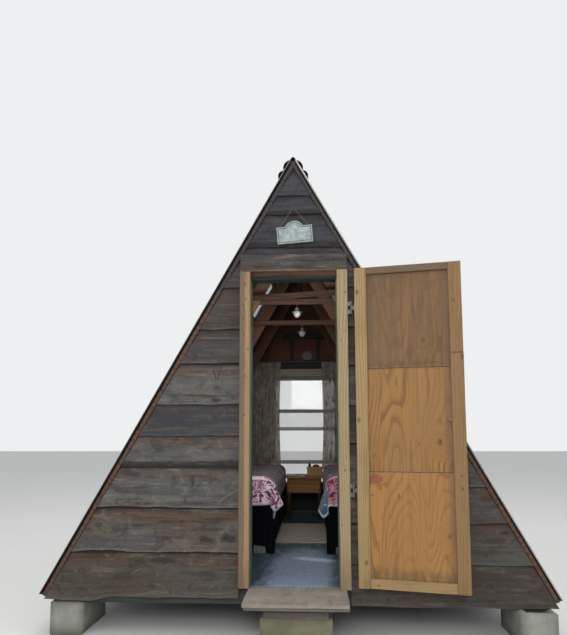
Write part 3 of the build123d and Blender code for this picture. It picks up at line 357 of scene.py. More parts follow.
def wood(name, light, dark, axis, spread=0.22, wild_knots=0.0, odd=None, cracks=0.5, rings=26.0,
         ring_share=0.22, stain=None, extras=()):
    """Wood with its grain along an axis: rings, fibres, rare knots, odd boards and cracks."""
    looks = Looks(name)
    along, across, through = grain_axes(looks, axis)
    board = looks.attribute("board")
    shift = board * 37.0
    bent, core = across, None
    if wild_knots:
        field = looks.vector(along * 1.7 + shift, across * 5.2 + shift, 0.0)
        d = looks.cells(field)
        rare = looks.part(looks.cells(field, out=1), 0).between(1 - wild_knots, 1.01 - wild_knots)
        bent = across + (d * 0.16 - 0.03) * (d.between(0.34, 0.06) * rare)
        core = d.between(0.10, 0.05) * rare
    sway = looks.cloud(looks.vector(along * 0.55 + shift, bent + shift, through * 0.8), 2.6, 2.0, 0.5)
    ring = ((bent + sway * 0.11) * rings * 6.283 + shift).math("SINE") * 0.5 + 0.5
    fibre = looks.streaks(along * 3.0 + shift, bent * 150.0, through * 150.0 + shift, 4.0, 0.65)
    coarse = looks.streaks(along * 1.1 + shift, bent * 24.0 + shift, through * 24.0, 3.0, 0.6, 0.3)
    tone = fibre * 0.45 + ring * ring_share + coarse * 0.45 - 0.1
    tint = looks.layers(
        dark, (tone.between(0.12, 0.82), light), (board.between(0.0, 1.0) * spread, odd or dark)
    )
    if stain:
        blot = looks.streaks(along * 2.3, across * 5.0 + shift, through * 5.0, 4.0, 0.62, 0.4)
        tint = looks.mix(blot.between(0.55, 0.75) * 0.6, tint, stain)
    if core is not None:
        tint = looks.mix(core * 0.88, tint, toned(dark, 0.32))
    for extra in extras:
        tint = extra(looks, tint, along, across)
    split = looks.streaks(along * 2.0 + shift, bent * 90.0 + shift, through * 90.0, 1.0)
    split = split.between(0.30, 0.22) * cracks
    tint = looks.mix(split, tint, toned(dark, 0.35))
    normal = looks.bump(fibre * 0.5 + ring * 0.25 + coarse * 0.4 - split * 1.2, 0.45, 0.0016)
    return looks.painted(tint, 0.78 + (coarse - 0.5) * 0.25, normal)


def lintel_wear(looks, tint, along, across):
    """Dark and pale smears along the lintel and its paler lower arris."""
    blot = looks.streaks(along * 5.0, across * 30.0, 0.0, 5.0, 0.65, 0.6)
    return looks.layers(
        tint,
        (blot.between(0.51, 0.63) * 0.85, srgb(38, 31, 27)),
        (blot.between(0.46, 0.34) * 0.60, srgb(116, 101, 88)),
        (0.16, srgb(30, 26, 25)),
        (across.between(2.198, 2.190) * 0.6, srgb(118, 92, 72)),
    )


FRONT_STAINS = (
    (-0.536, 0.573, 0.035, 0.024, 0.65), (-0.385, 0.574, 0.050, 0.026, 0.75),
    (-0.612, 0.911, 0.012, 0.040, 0.7), (-0.805, 0.447, 0.095, 0.024, 0.75),
    (-0.480, 1.396, 0.036, 0.014, 0.8), (-0.655, 0.800, 0.012, 0.030, 0.5),
    (-0.520, 1.420, 0.050, 0.012, 0.5), (0.62, 0.56, 0.060, 0.030, 0.5),
    (1.219, 0.622, 0.030, 0.012, 0.9), (-0.500, 0.662, 0.070, 0.022, 0.5),
    (-1.010, 0.955, 0.060, 0.018, 0.6),
)


def front_wear(looks, tint, along, across):
    """Darker upper boards, dark stains, a scar and a flame on the front boards."""
    tone = looks.attribute("tone")
    blot = looks.streaks(along * 9.0, across * 13.0, 0.0, 5.0, 0.7, 0.8)
    grain = looks.streaks(along * 3.0, across * 34.0, 0.0, 5.0, 0.66, 0.5).between(0.40, 0.60)
    upper = across.between(1.12, 1.30) * tone.between(0.65, 0.45)
    tint = looks.layers(
        tint,
        (upper * (0.30 + grain * 0.50), srgb(44, 40, 38)),
        (along.between(0.86, 0.96) * 0.30, srgb(40, 35, 26)),
        (across.between(0.50, 0.47) * 0.28, srgb(44, 46, 40)),
        (abs(across - 1.275).between(0.12, 0.08) * (0.22 + grain * 0.44), srgb(36, 44, 54)),
        (along.between(0.30, 0.40) * grain * 0.34, srgb(40, 34, 28)),
    )
    for a, c, wide, tall, share in FRONT_STAINS:
        d = looks.apart((0, 0, 0), (along - a) / wide, (across - c) / tall) + (blot - 0.5) * 3.0
        tint = looks.mix(d.between(1.25, 0.35) * share, tint, srgb(22, 18, 16))
    run = (along + 0.457) * 0.845 + (across - 0.783) * 0.535
    off = (across - 0.783) * 0.845 - (along + 0.457) * 0.535 - run * (0.142 - run) * 1.2
    scar = abs(off).between(0.0045, 0.0018) * run.between(-0.003, 0.004) * run.between(0.146, 0.138)
    tint = looks.mix(scar * 0.6, tint, srgb(122, 102, 84))
    wedge = abs(abs(along + 0.473) - (across - 1.512) * 0.30)
    flame = wedge.between(0.0065, 0.002) * across.between(1.516, 1.530) * across.between(1.608, 1.600)
    return looks.mix(flame * 0.7, tint, srgb(28, 23, 21))


def weathered(name, brown, grey, blue, bark, spots=((9, 9, 0.01),), relief=0.55, inside=None, extras=()):
    """Rough sawn boards gone grey: brown under each lap, grey and blue below, with knots and a live edge;
    painted shadow under each lap and a painted highlight on each lower edge.
    """
    looks = Looks(name)
    along, across, through = grain_axes(looks, "x")
    board, edge, rise, tone = (looks.attribute(n) for n in ("board", "edge", "rise", "tone"))
    shift = board * 41.0
    bent, core, rim = looks.knots(along, across, spots)
    patch = looks.streaks(along * 1.3 + shift, across * 4.0 + shift, through, 4.0, 0.55)
    drift = looks.streaks(along * 1.9 + shift, across * 8.0 - shift, through, 5.0, 0.62, 0.6)
    smear = looks.streaks(along * 3.2 + shift, bent * 36.0, through * 9.0, 6.0, 0.66, 0.4)
    smudge = looks.streaks(along * 13.0 + shift, across * 16.0 + shift, through * 4.0, 5.0, 0.68, 0.8)
    fibre = looks.streaks(along * 9.0 + shift, bent * 240.0, through * 90.0, 3.0, 0.6)
    saw = looks.streaks(along * 130.0, across * 9.0 + shift, 0.0, 2.0, 0.5)
    ring = abs((bent * 34.0 + drift * 4.0 + shift).math("FRACT") - 0.5).between(0.36, 0.5)
    aged = (tone * 0.95 + (patch - 0.5) * 1.9).between(0.0, 0.9)
    tint = looks.mix(aged, brown, grey)
    cool = ((drift - 0.5) * 2.4 + (tone - 0.5) * 0.5 + 0.28).between(0.25, 0.6)
    tint = looks.mix(cool * 0.7, tint, blue)
    warm = (rise + (drift - 0.5) * 0.9 + (smear - 0.5) * 0.3).between(0.60, 0.70)
    rust = toned(brown, 1.22, 0.98, 0.80)
    tint = looks.layers(
        tint,
        (warm * (0.85 - tone * 0.35), rust),
        # Painted shadow: each board darkens towards its top, where it runs under the lap above.
        (rise.between(0.76, 0.92) * 0.75, toned(brown, 0.22)),
    )
    deep = toned(brown, 0.32)
    pale = toned(grey, 1.5)
    tint = looks.layers(
        tint,
        (smear.between(0.51, 0.66) * 0.74, deep),
        (smear.between(0.46, 0.33) * 0.66, pale),
        (smudge.between(0.53, 0.66) * 0.66, deep),
        (smudge.between(0.45, 0.33) * 0.46, pale),
        (ring * 0.25 * smear, deep),
        (abs(fibre - 0.5) * 1.1, deep),
        (core * 0.45, rust),
        (rim * 0.8, toned(deep, 0.6)),
    )
    crack = looks.streaks(along * 1.6 + shift, bent * 75.0 + shift, 0.0, 1.0)
    split = crack.between(0.29, 0.22) * drift.between(0.45, 0.6)
    tint = looks.layers(
        tint,
        (split * 0.85, toned(deep, 0.25)),
        # Painted highlight: a paler line along each board's lower edge; planks without lap marks take it all
        # over.
        (rise.between(0.07, 0.02) * 0.30 * (1 - edge.between(0.3, 0.6)), pale),
    )
    torn = (edge + (smear - 0.5) * 0.9 + (fibre - 0.5) * 0.5).between(0.40, 0.75)
    tint = looks.layers(
        tint,
        (torn * 0.9, looks.mix(along.between(0.86, 1.0), srgb(28, 24, 22), bark)),
        (torn * smudge.between(0.5, 0.6) * 0.7, toned(deep, 0.2)),
        # Painted shadow: a near black line just under each lap.
        (rise.between(0.858, 0.892) * 0.9, srgb(12, 10, 9)),
    )
    if inside is not None:
        shown = looks.mix(smear, inside, toned(inside, 0.5))
        # Low on the inside face, below about 0.6 m, the colour turns near black green: painted shade under
        # the table.
        shown = looks.mix(across.between(0.68, 0.60), shown, srgb(30, 38, 34))
        tint = looks.mix(looks.facing(1).between(-0.3, -0.7), tint, shown)
    for extra in extras:
        tint = extra(looks, tint, along, across)
    height = fibre * 0.55 + smear * 0.7 + saw * 0.25 + ring * 0.2 - split * 1.6 - rim * 0.8 + torn * smudge
    return looks.painted(tint, 0.86 - cool * 0.12, looks.bump(height, relief, 0.002))


def rotary_ply(name, light, dark, spots, extras=()):
    """Rotary-cut plywood: tall flames and loops of dark late wood on a tan ground."""
    looks = Looks(name)
    place = looks.place()
    x, z = looks.part(place, 0), looks.part(place, 2)
    shift = looks.attribute("board") * 23.0
    bent, core, rim = looks.knots(z, x, spots, 6.0)
    far = looks.streaks(bent * 4.2 + shift, z * 0.75 + shift, shift, 1.6, 0.4)
    wave = looks.streaks(bent * 14.0, z * 3.2 + shift, shift, 2.0, 0.5)
    phase = far * 21.0 + bent * 12.0 + wave * 1.6
    saw = phase.math("FRACT")
    late = saw.between(0.45, 0.93) * saw.between(1.0, 0.955)
    fine = looks.streaks(bent * 420.0, z * 9.0, shift, 3.0, 0.6)
    patch = looks.streaks(x * 3.5, z * 1.6 + shift, 0.0, 4.0, 0.6)
    band = looks.streaks(bent * 17.0 + shift, z * 0.8, shift, 3.0, 0.55)
    lines = looks.streaks(bent * 120.0 + shift, z * 1.6, shift, 3.0, 0.6)
    tint = looks.layers(
        toned(light, 0.84),
        (patch.between(0.3, 0.7), light),
        (band.between(0.45, 0.70) * 0.5, toned(light, 0.86, 0.74, 0.60)),
        (late * patch.between(0.15, 0.70) * 0.80, dark),
        (lines.between(0.50, 0.66) * 0.45, dark),
        (fine.between(0.5, 0.8) * 0.30, toned(dark, 0.7)),
        (rim * 0.55, toned(dark, 0.55)),
        (core * 0.9, toned(dark, 0.22)),
    )
    for extra in extras:
        tint = extra(looks, tint, x, z)
    normal = looks.bump(late * 0.4 + fine * 0.5 + rim * 0.3, 0.3, 0.0008)
    return looks.painted(tint, 0.62 + patch * 0.2, normal)


def construction_lumber(name, light, dark, axis, spots, flecks, extras):
    """Sawn softwood with long straight grain, small knots and dark nail specks."""
    looks = Looks(name)
    along, across, through = grain_axes(looks, axis)
    shift = looks.attribute("board") * 29.0
    bent, core, rim = looks.knots(along, across, spots)
    far = looks.streaks(bent * 9.0 + shift, along * 0.55 + shift, through * 9.0, 1.5, 0.4)
    phase = far * 9.0 + bent * 60.0 + through * 55.0
    late = phase.math("FRACT").between(0.35, 0.95)
    fine = looks.streaks(bent * 300.0, along * 6.0 + shift, through * 300.0, 3.0, 0.6)
    patch = looks.streaks(across * 9.0 + shift, along * 1.8 + shift, through * 9.0, 4.0, 0.6)
    tint = looks.mix(late * 0.5 + (fine - 0.5) * 0.5, light, dark)
    tint = looks.mix(patch.between(0.45, 0.75) * 0.35, tint, toned(dark, 0.62))
    speck_field = looks.vector(along * 13.0 + shift, across * 34.0 + shift, through * 20.0)
    speck = looks.cells(speck_field).between(0.13, 0.06)
    rare = looks.part(looks.cells(speck_field, out=1), 1).between(1 - flecks * 0.5, 1.02 - flecks * 0.5)
    tint = looks.mix(speck * rare * 0.75, tint, toned(dark, 0.22))
    for extra in extras:
        tint = extra(looks, tint, along, across)
    tint = looks.layers(
        tint,
        (rim * 0.7, toned(dark, 0.4)),
        (core * 0.85, toned(dark, 0.15)),
    )
    normal = looks.bump(late * 0.3 + fine * 0.5 - speck * rare * 0.6, 0.35, 0.001)
    return looks.painted(tint, 0.7 + patch * 0.15, normal)


def dull_metal(name, tint, rust):
    """Metal with a worn, spotted finish."""
    looks = Looks(name)
    place = looks.place()
    spots = looks.cloud(place, 60.0, 5.0, 0.65)
    base = looks.mix(spots.between(0.5, 0.7) * 0.7, tint, rust)
    normal = looks.bump(looks.cloud(place, 420.0, 2.0) * 0.4 + spots, 0.25, 0.0006)
    return looks.painted(base, 0.42 + spots * 0.3, normal, Metallic=1 - spots.between(0.52, 0.7) * 0.7)


def mottled(name, first, second, rough, cloud, vary=0.0, stretch=None, relief=None, **more):
    """A finish that drifts between two colours; cloud, stretch and relief set its noise and bump."""
    looks = Looks(name)
    place = looks.scaled(looks.place(), stretch) if stretch else looks.place()
    drift = looks.cloud(place, *cloud)
    normal = looks.bump(drift, *relief) if relief else None
    rough = rough + drift * vary if vary else rough
    return looks.painted(looks.mix(drift, first, second), rough, normal, **more)


def concrete(name, tint):
    """Rough moulded concrete with pits, grit and damp feet."""
    looks = Looks(name)
    place = looks.place()
    grit = looks.cloud(place, 260.0, 3.0, 0.7)
    patch = looks.cloud(place, 7.0, 4.0, 0.6)
    hole = looks.cells(place, 120.0).between(0.20, 0.10)
    low = looks.part(place, 2).between(0.10, 0.0)
    base = looks.layers(
        toned(tint, 0.78),
        (patch.between(0.35, 0.7), toned(tint, 1.12)),
        (grit.between(0.45, 0.7) * 0.4, toned(tint, 0.6)),
        (hole * 0.6, toned(tint, 0.3)),
        (low * patch.between(0.3, 0.6) * 0.55, srgb(92, 90, 66)),
    )
    normal = looks.bump(grit * 0.7 + patch - hole * 1.5, 0.6, 0.002)
    return looks.painted(base, 0.93, normal)


def painted_floor(paint, worn):
    """Old floor paint, dark at the sides, scuffed and worn through in the middle of the room."""
    looks = Looks("painted_floor")
    place = looks.place()
    x, y = looks.part(place, 0), looks.part(place, 1)
    scuff = looks.cloud(looks.scaled(place, (11.0, 4.0, 1.0)), 1.0, 7.0, 0.72, 1.4)
    swirl = looks.cloud(place, 17.0, 5.0, 0.7, 2.5)
    broad = looks.cloud(place, 3.4, 3.0, 0.6)
    near = abs(x - 0.02).between(0.34, 0.02) * y.between(FRONT + 1.5, FRONT + 0.5)
    scratch = looks.cloud(looks.scaled(place, (60.0, 9.0, 1.0)), 1.0, 5.0, 0.7, 2.0)
    wear = (near + scuff * 0.9 + broad * 0.5 - 0.78).between(0.05, 0.60)
    run = (x - 0.11) * 0.933 - (y - FRONT - 0.70) * 0.359
    off = (x - 0.11) * 0.359 + (y - FRONT - 0.70) * 0.933 + (scuff - 0.5) * 0.06
    streak = abs(off - 0.01).between(0.075, 0.015) * abs(run).between(0.20, 0.06)
    base = looks.layers(
        toned(paint, 0.35),
        (scuff.between(0.3, 0.7), paint),
        (wear * 0.85, worn),
        (swirl.between(0.56, 0.68) * near * 0.6, toned(worn, 1.5)),
        (scratch.between(0.55, 0.66) * near * 0.5, toned(worn, 1.4)),
        (scratch.between(0.45, 0.36) * 0.4, toned(paint, 0.4)),
        (streak * 0.85, srgb(206, 212, 222)),
    )
    return looks.painted(base, 0.42 + scuff * 0.3, looks.bump(scuff * 0.6 + swirl * 0.3, 0.3, 0.0012))


def roofing(tint):
    """Pale corrugated sheet, streaked and dusty down the slope."""
    looks = Looks("roofing")
    down, along, out = grain_axes(looks, "slope")
    streak = looks.streaks(down * 1.2, along * 26.0, 0.0, 5.0, 0.7)
    patch = looks.streaks(down * 2.2, along * 3.0, 0.0, 5.0, 0.6)
    speck = looks.cloud(looks.place(), 90.0, 4.0, 0.7)
    base = looks.layers(
        tint,
        (streak.between(0.38, 0.72) * 0.6, srgb(128, 124, 104)),
        (patch.between(0.5, 0.72) * 0.55, srgb(104, 110, 84)),
        (speck.between(0.62, 0.72) * 0.7, srgb(70, 60, 44)),
    )
    valley = (out - RIDGE_Z * COS + (streak - 0.5) * 0.006).between(-0.004, -0.015)
    base = looks.layers(
        base,
        (valley * 0.7, srgb(74, 72, 60)),
        # Painted shade: the hollow under the first wave's front edge made near black.
        (front_gap(along, out), srgb(10, 9, 8)),
    )
    return looks.painted(base, 0.55 + patch * 0.25, looks.bump(speck * 0.5 + streak, 0.18, 0.001))


def front_gap(along, out):
    """The hollow of a sheet's first wave, behind its pale front edge, where shade is painted."""
    return along.between(FRONT - 0.004, FRONT - 0.010) * (out - RIDGE_Z * COS).between(-0.0016, -0.0030)


def clear_roofing(tint):
    """Translucent corrugated sheet that lets soft light in."""
    looks = Looks("clear_roofing")
    down, along, out = grain_axes(looks, "slope")
    streak = looks.streaks(down * 1.5, along * 22.0, 0.0, 5.0, 0.7)
    speck = looks.cloud(looks.place(), 70.0, 4.0, 0.7)
    base = looks.mix(streak.between(0.45, 0.75) * 0.35, tint, srgb(170, 168, 150))
    base = looks.mix(speck.between(0.62, 0.72) * 0.5, base, srgb(110, 104, 84))
    gap = front_gap(along, out)
    base = looks.layers(
        base,
        # The hollow behind the front edge is made pale and opaque, with painted shade deeper in it.
        (gap, srgb(176, 173, 152)),
        (gap * (out - RIDGE_Z * COS).between(-0.0045, -0.0060), srgb(40, 40, 42)),
    )
    front = along.between(FRONT - 0.004, FRONT - 0.010)
    normal = looks.bump(speck + streak, 0.2, 0.001)
    return looks.painted(base, 0.35, normal, Alpha=0.42 + front * 0.58)


def cap_sheet(tint):
    """Black bitumen sheet, matt and slightly fibrous."""
    looks = Looks("cap_sheet")
    place = looks.place()
    grit = looks.cloud(place, 300.0, 3.0, 0.7)
    dust = looks.cloud(place, 11.0, 5.0, 0.65)
    base = looks.mix(dust.between(0.5, 0.75) * 0.4, tint, srgb(86, 82, 74))
    base = looks.mix(grit.between(0.4, 0.7) * 0.4, base, toned(tint, 0.4))
    return looks.painted(base, 0.85, looks.bump(grit + dust * 0.5, 0.4, 0.0012))


def cloth(name, tint, weave, shade=0.5, sheen=0.25, gloss=0.5):
    """Plain woven cloth on the piece's own UV map, given in metres."""
    looks = Looks(name)
    uv = looks.uv()
    warp, weft = (abs((looks.part(uv, i) * weave * 3.1416).math("SINE")) for i in (0, 1))
    lint = looks.cloud(uv, 60.0, 4.0, 0.6)
    # The weave's thread crowns are painted paler: a painted highlight.
    base = looks.layers(
        toned(tint, shade), (lint.between(0.3, 0.75), tint), (warp * weft * 0.35, toned(tint, 1.35))
    )
    normal = looks.bump(warp * 0.5 + weft * 0.5 + lint * 0.6, 0.35, 0.0006)
    return looks.painted(base, 0.92, normal, Sheen_Weight=sheen, Specular_IOR_Level=gloss)


# Building of meshes


MARKS = ("board", "edge", "rise", "tone")


class Shape:
    """Points and faces of one piece, gathered from several bodies, with marks that its material reads."""

    def __init__(self):
        self.points = []
        self.faces = []
        self.marks = {mark: [] for mark in MARKS}

    def loft(self, rings, **marks):
        """Joins rings of equal length into a closed skin.

        A mark is one number, a list for the points of each ring, or a tuple for the rings.
        """
        start, size = len(self.points), len(rings[0])
        for number, ring in enumerate(rings):
            self.points += [tuple(p) for p in ring]
            for mark in MARKS:
                value = marks.get(mark, 0.0)
                value = value[number] if isinstance(value, tuple) else value
                self.marks[mark] += value if isinstance(value, list) else [value] * size
        last = start + (len(rings) - 1) * size
        for row in range(start, last, size):
            for k in range(size):
                a, b = row + k, row + (k + 1) % size
                self.faces.append((a, b, b + size, a + size))
        self.faces.append(tuple(range(start + size - 1, start - 1, -1)))
        self.faces.append(tuple(range(last, last + size)))

    def take(self, other):
        """Adds another shape's bodies."""
        start = len(self.points)
        self.points += other.points
        for mark in MARKS:
            self.marks[mark] += other.marks[mark]
        self.faces += [tuple(start + i for i in face) for face in other.faces]

    def make(self, name, material, slot, body="cabin", replaces=(), smooth_by=35):
        """Turns the shape into a piece that rides on a body."""
        mesh = bpy.data.meshes.new(name)
        mesh.from_pydata(self.points, [], self.faces)
        for mark, values in self.marks.items():
            mesh.attributes.new(mark, "FLOAT", "POINT").data.foreach_set("value", values)
        face_outwards(mesh)
        return finish_piece(name, mesh, material, slot, body, replaces, smooth_by)


def joined(name, meshes):
    """Several meshes as one."""
    work = bmesh.new()
    for mesh in meshes:
        work.from_mesh(mesh)
    whole = bpy.data.meshes.new(name)
    work.to_mesh(whole)
    work.free()
    return whole


def face_outwards(mesh):
    """Recalculates a mesh's normals so that its faces point outwards."""
    work = bmesh.new()
    work.from_mesh(mesh)
    bmesh.ops.recalc_face_normals(work, faces=work.faces)
    work.to_mesh(mesh)
    work.free()


def finish_piece(name, mesh, material, slot, body="cabin", replaces=(), smooth_by=None):
    """Links a mesh as a piece, gives it its finish, and lets it ride."""
    piece = bpy.data.objects.new(name, mesh)
    bpy.context.scene.collection.objects.link(piece)
    mesh.materials.clear()
    mesh.materials.append(material)
    if smooth_by is not None:
        mesh.polygons.foreach_set("use_smooth", [True] * len(mesh.polygons))
        mesh.set_sharp_from_angle(angle=math.radians(smooth_by))
    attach(piece, body)
    if replaces:
        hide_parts(*replaces)
    return piece


def softened(node, name, material, slot, width, rough=0.0, cuts=0):
    """A copy of a CAD node with eased edges and, if asked, a slightly uneven surface."""
    mesh = NODES[node].data.copy()
    work = bmesh.new()
    work.from_mesh(mesh)
    bmesh.ops.remove_doubles(work, verts=work.verts, dist=1e-5)
    bmesh.ops.dissolve_limit(work, angle_limit=math.radians(2), verts=work.verts, edges=work.edges)
    sharp = [e for e in work.edges if len(e.link_faces) == 2 and e.calc_face_angle(0) > 0.5]
    bmesh.ops.bevel(work, geom=sharp, offset=width, segments=2, affect="EDGES", clamp_overlap=True)
    for _ in range(cuts):
        long_edges = [e for e in work.edges if e.calc_length() > 0.08]
        bmesh.ops.subdivide_edges(work, edges=long_edges, cuts=1, use_grid_fill=True)
    if rough:
        for v in work.verts:
            push = wander(v.co.x * 14, v.co.y * 14, v.co.z * 14) * rough
            v.co += v.normal * min(push, 0.0)
    number_islands(work)
    bmesh.ops.triangulate(work, faces=[f for f in work.faces if len(f.verts) > 4])
    work.to_mesh(mesh)
    work.free()
    return finish_piece(name, mesh, material, slot, "cabin", (node,), 35)


def number_islands(work):
    """Gives each loose part of a mesh its own board number."""
    layer = work.verts.layers.float.new("board")
    seen = set()
    rng = random.Random(len(work.verts))
    for v in work.verts:
        if v in seen:
            continue
        number = rng.random()
        stack = [v]
        seen.add(v)
        while stack:
            u = stack.pop()
            u[layer] = number
            for e in u.link_edges:
                w = e.other_vert(u)
                if w not in seen:
                    seen.add(w)
                    stack.append(w)


def dress(node, material):
    """Gives a carried-over CAD node its material."""
    mesh = NODES[node].data
    if mesh.materials:
        for i in range(len(mesh.materials)):
            mesh.materials[i] = material
    else:
        mesh.materials.append(material)


def plank(shape, start, end, width_dir, thick_dir, width, thick, rng, **more):
    """Adds one sawn plank from start to end, with eased edges and slightly uneven faces.

    width_dir and thick_dir are unit vectors; ragged is how far its ends splinter.
    """
    run = end - start
    length = run.length
    steps = max(2, int(length / more.get("step", 0.12)) + 1)
    ease = more.get("ease", 0.0025)
    uneven = more.get("uneven", 0.0007)
    ragged = more.get("ragged", 0.0)
    w, t = width / 2, thick / 2
    outline = [
        (-w, -t + ease), (-w + ease, -t), (-w / 3, -t), (w / 3, -t), (w - ease, -t), (w, -t + ease),
        (w, t - ease), (w - ease, t), (w / 3, t), (-w / 3, t), (-w + ease, t), (-w, t - ease),
    ]
    seed = rng.random() * 50
    board = rng.random()
    rings = []
    for i in range(steps + 1):
        u = i / steps
        ring = []
        for k, (a, b) in enumerate(outline):
            p = start + run * u + width_dir * a + thick_dir * b
            if uneven:
                p += width_dir * wander(u * length * 3 + seed, k * 0.2) * uneven
                p += thick_dir * wander(u * length * 2.3 + seed, k * 0.3, 4.0) * uneven
            if ragged and i in (0, steps):
                inward = run.normalized() * (1 if i == 0 else -1)
                p += inward * abs(wander(seed + a * 60, b * 60, i)) * ragged
            ring.append(p)
        rings.append(ring)
    shape.loft(rings, board=board, tone=more.get("tone", board))


X, Y, Z = Vector((1, 0, 0)), Vector((0, 1, 0)), Vector((0, 0, 1))


def bar(node, name, material, slot, rng, upright=False, slack=0.0, **more):
    """Makes a plank that fills a node's box along x, narrower by slack, in the node's place."""
    low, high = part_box(node)
    y, z = ((low + high) / 2).yz
    start, end = Vector((low.x, y, z)), Vector((high.x, y, z))
    tall, deep = high.z - low.z, high.y - low.y
    shape = Shape()
    if upright:
        plank(shape, start, end, Z, Y, tall - slack, deep, rng, **more)
    else:
        plank(shape, start, end, Y, Z, deep - slack, tall, rng, **more)
    shape.make(name, material, slot, replaces=(node,))


# Siding


FRONT_KNOTS = (
    (-1.272, 0.380, 0.013), (-1.253, 0.351, 0.009), (-0.933, 0.430, 0.012), (-1.183, 0.649, 0.013),
    (-0.476, 1.472, 0.009), (0.378, 0.235, 0.010), (1.122, 0.317, 0.012), (-0.62, 0.88, 0.006),
)
LEFT_TONES = (0.22, 0.42, 0.95, 0.78, 0.40, 0.85, 0.38, 0.30, 0.4)
RIGHT_TONES = (0.16, 0.55, 0.5, 0.45, 0.4, 0.7, 0.35, 0.5, 0.4)
GABLE_TONES = (0.3, 0.6, 0.5, 0.6)


def lapped_board(shape, low, high, ends, face_y, out, sizes, rng, **more):
    """Adds one lapped board. ends gives its two end x at a height.

    wild waves its lower edge, rough frays it, edge colours it as live wood, foot moves it by x.
    """
    thick = sizes.board_thickness
    top = high + sizes.board_lap
    wild, rough, edge = more.get("wild", 0.0), more.get("rough", 0.0003), more.get("edge", 0.1)
    foot_of = more.get("foot", lambda x: 0.0)
    seed = rng.random() * 90
    x0, x1 = ends((low + high) / 2)
    steps = max(4, int(abs(x1 - x0) / (0.008 if rough > 0.001 else 0.02)))
    marks = [0.0, 0.010, 0.05, 0.14, 0.28, 0.5, 0.75, 0.93, 1.0]

    def depth(z):
        return 0.032 - 0.016 * (z - low) / (high - low)

    rings = []
    for i in range(steps + 1):
        u = i / steps
        x = x0 + (x1 - x0) * u
        stray = wander(x * 2.2 + seed) * sizes.edge_wander * 1.6 + wander(x * 9 + seed) * sizes.edge_wander
        stray += wild * (wander(x * 4.1 + seed, 3.0) + 0.35 * wander(x * 13 + seed, 7.0))
        fray = rough * (wander(x * 55 + seed, 1.0) + wander(x * 120 + seed, 2.0) * 0.6)
        foot = low + max(-0.012, stray) + foot_of(x)
        outer, inner = [], []
        for m in marks:
            z = foot + (top - foot) * m + (fray if m < 0.02 else 0.0)
            hollow = wander(x * 2.4 + seed, z * 9.0) * 0.0016 + wander(x * 9 + seed, z * 30.0) * 0.0006
            o = depth(z) - 0.0012 + min(0.0, hollow - 0.0006)
            if m == 0.0:
                o -= 0.003 + 0.5 * edge * thick
            if m == 0.010 and rough > 0.001:
                o -= abs(fray) * 0.8
            if edge > 0.8 and 0.0 < m < 0.1:
                o -= (0.14 - m) * 0.035 + abs(wander(x * 70 + seed, m * 40.0)) * 0.0016
            outer.append((z, o))
            inner.append((z, depth(z) - thick - (0 if m else -0.002)))
        ring = []
        for z, o in outer + inner[::-1]:
            e0, e1 = ends(z)
            ring.append(Vector((e0 + (e1 - e0) * u, face_y + out * o, z)))
        rings.append(ring)
    live = edge > 0.8
    rim = [edge, edge * 0.95, edge * (0.92 if live else 0.3), edge * 0.78 if live else 0.0]
    rim += [0.0] * (len(marks) * 2 - 6) + [edge * 0.5, edge]
    shape.loft(
        rings, board=rng.random(), edge=rim, rise=marks + marks[::-1], tone=more.get("tone", rng.random())
    )


def board_spans(edges, top):
    """The lower and upper edge of each board below a panel's top."""
    used = [e for e in edges if e < top - 0.02]
    return zip(used, used[1:] + [top])


def siding_panel(edges, top, ends, face_y, out, sizes, seed, tones=(), special=None):
    """One panel of lapped boards: edges are the boards' lower edges, top is the panel's top."""
    rng = random.Random(seed)
    shape = Shape()
    for i, (low, high) in enumerate(board_spans(edges, top)):
        more = dict((special or {}).get(i, {}))
        if tones:
            more["tone"] = tones[i % len(tones)]
        lapped_board(shape, low, high, ends, face_y, out, sizes, rng, **more)
    return shape


def corner_foot(x):
    """How the lowest left board hangs lower towards its outer end."""
    return -0.024 * smooth(-1.03, -1.16, x) + 0.008 * smooth(-1.22, -1.40, x)


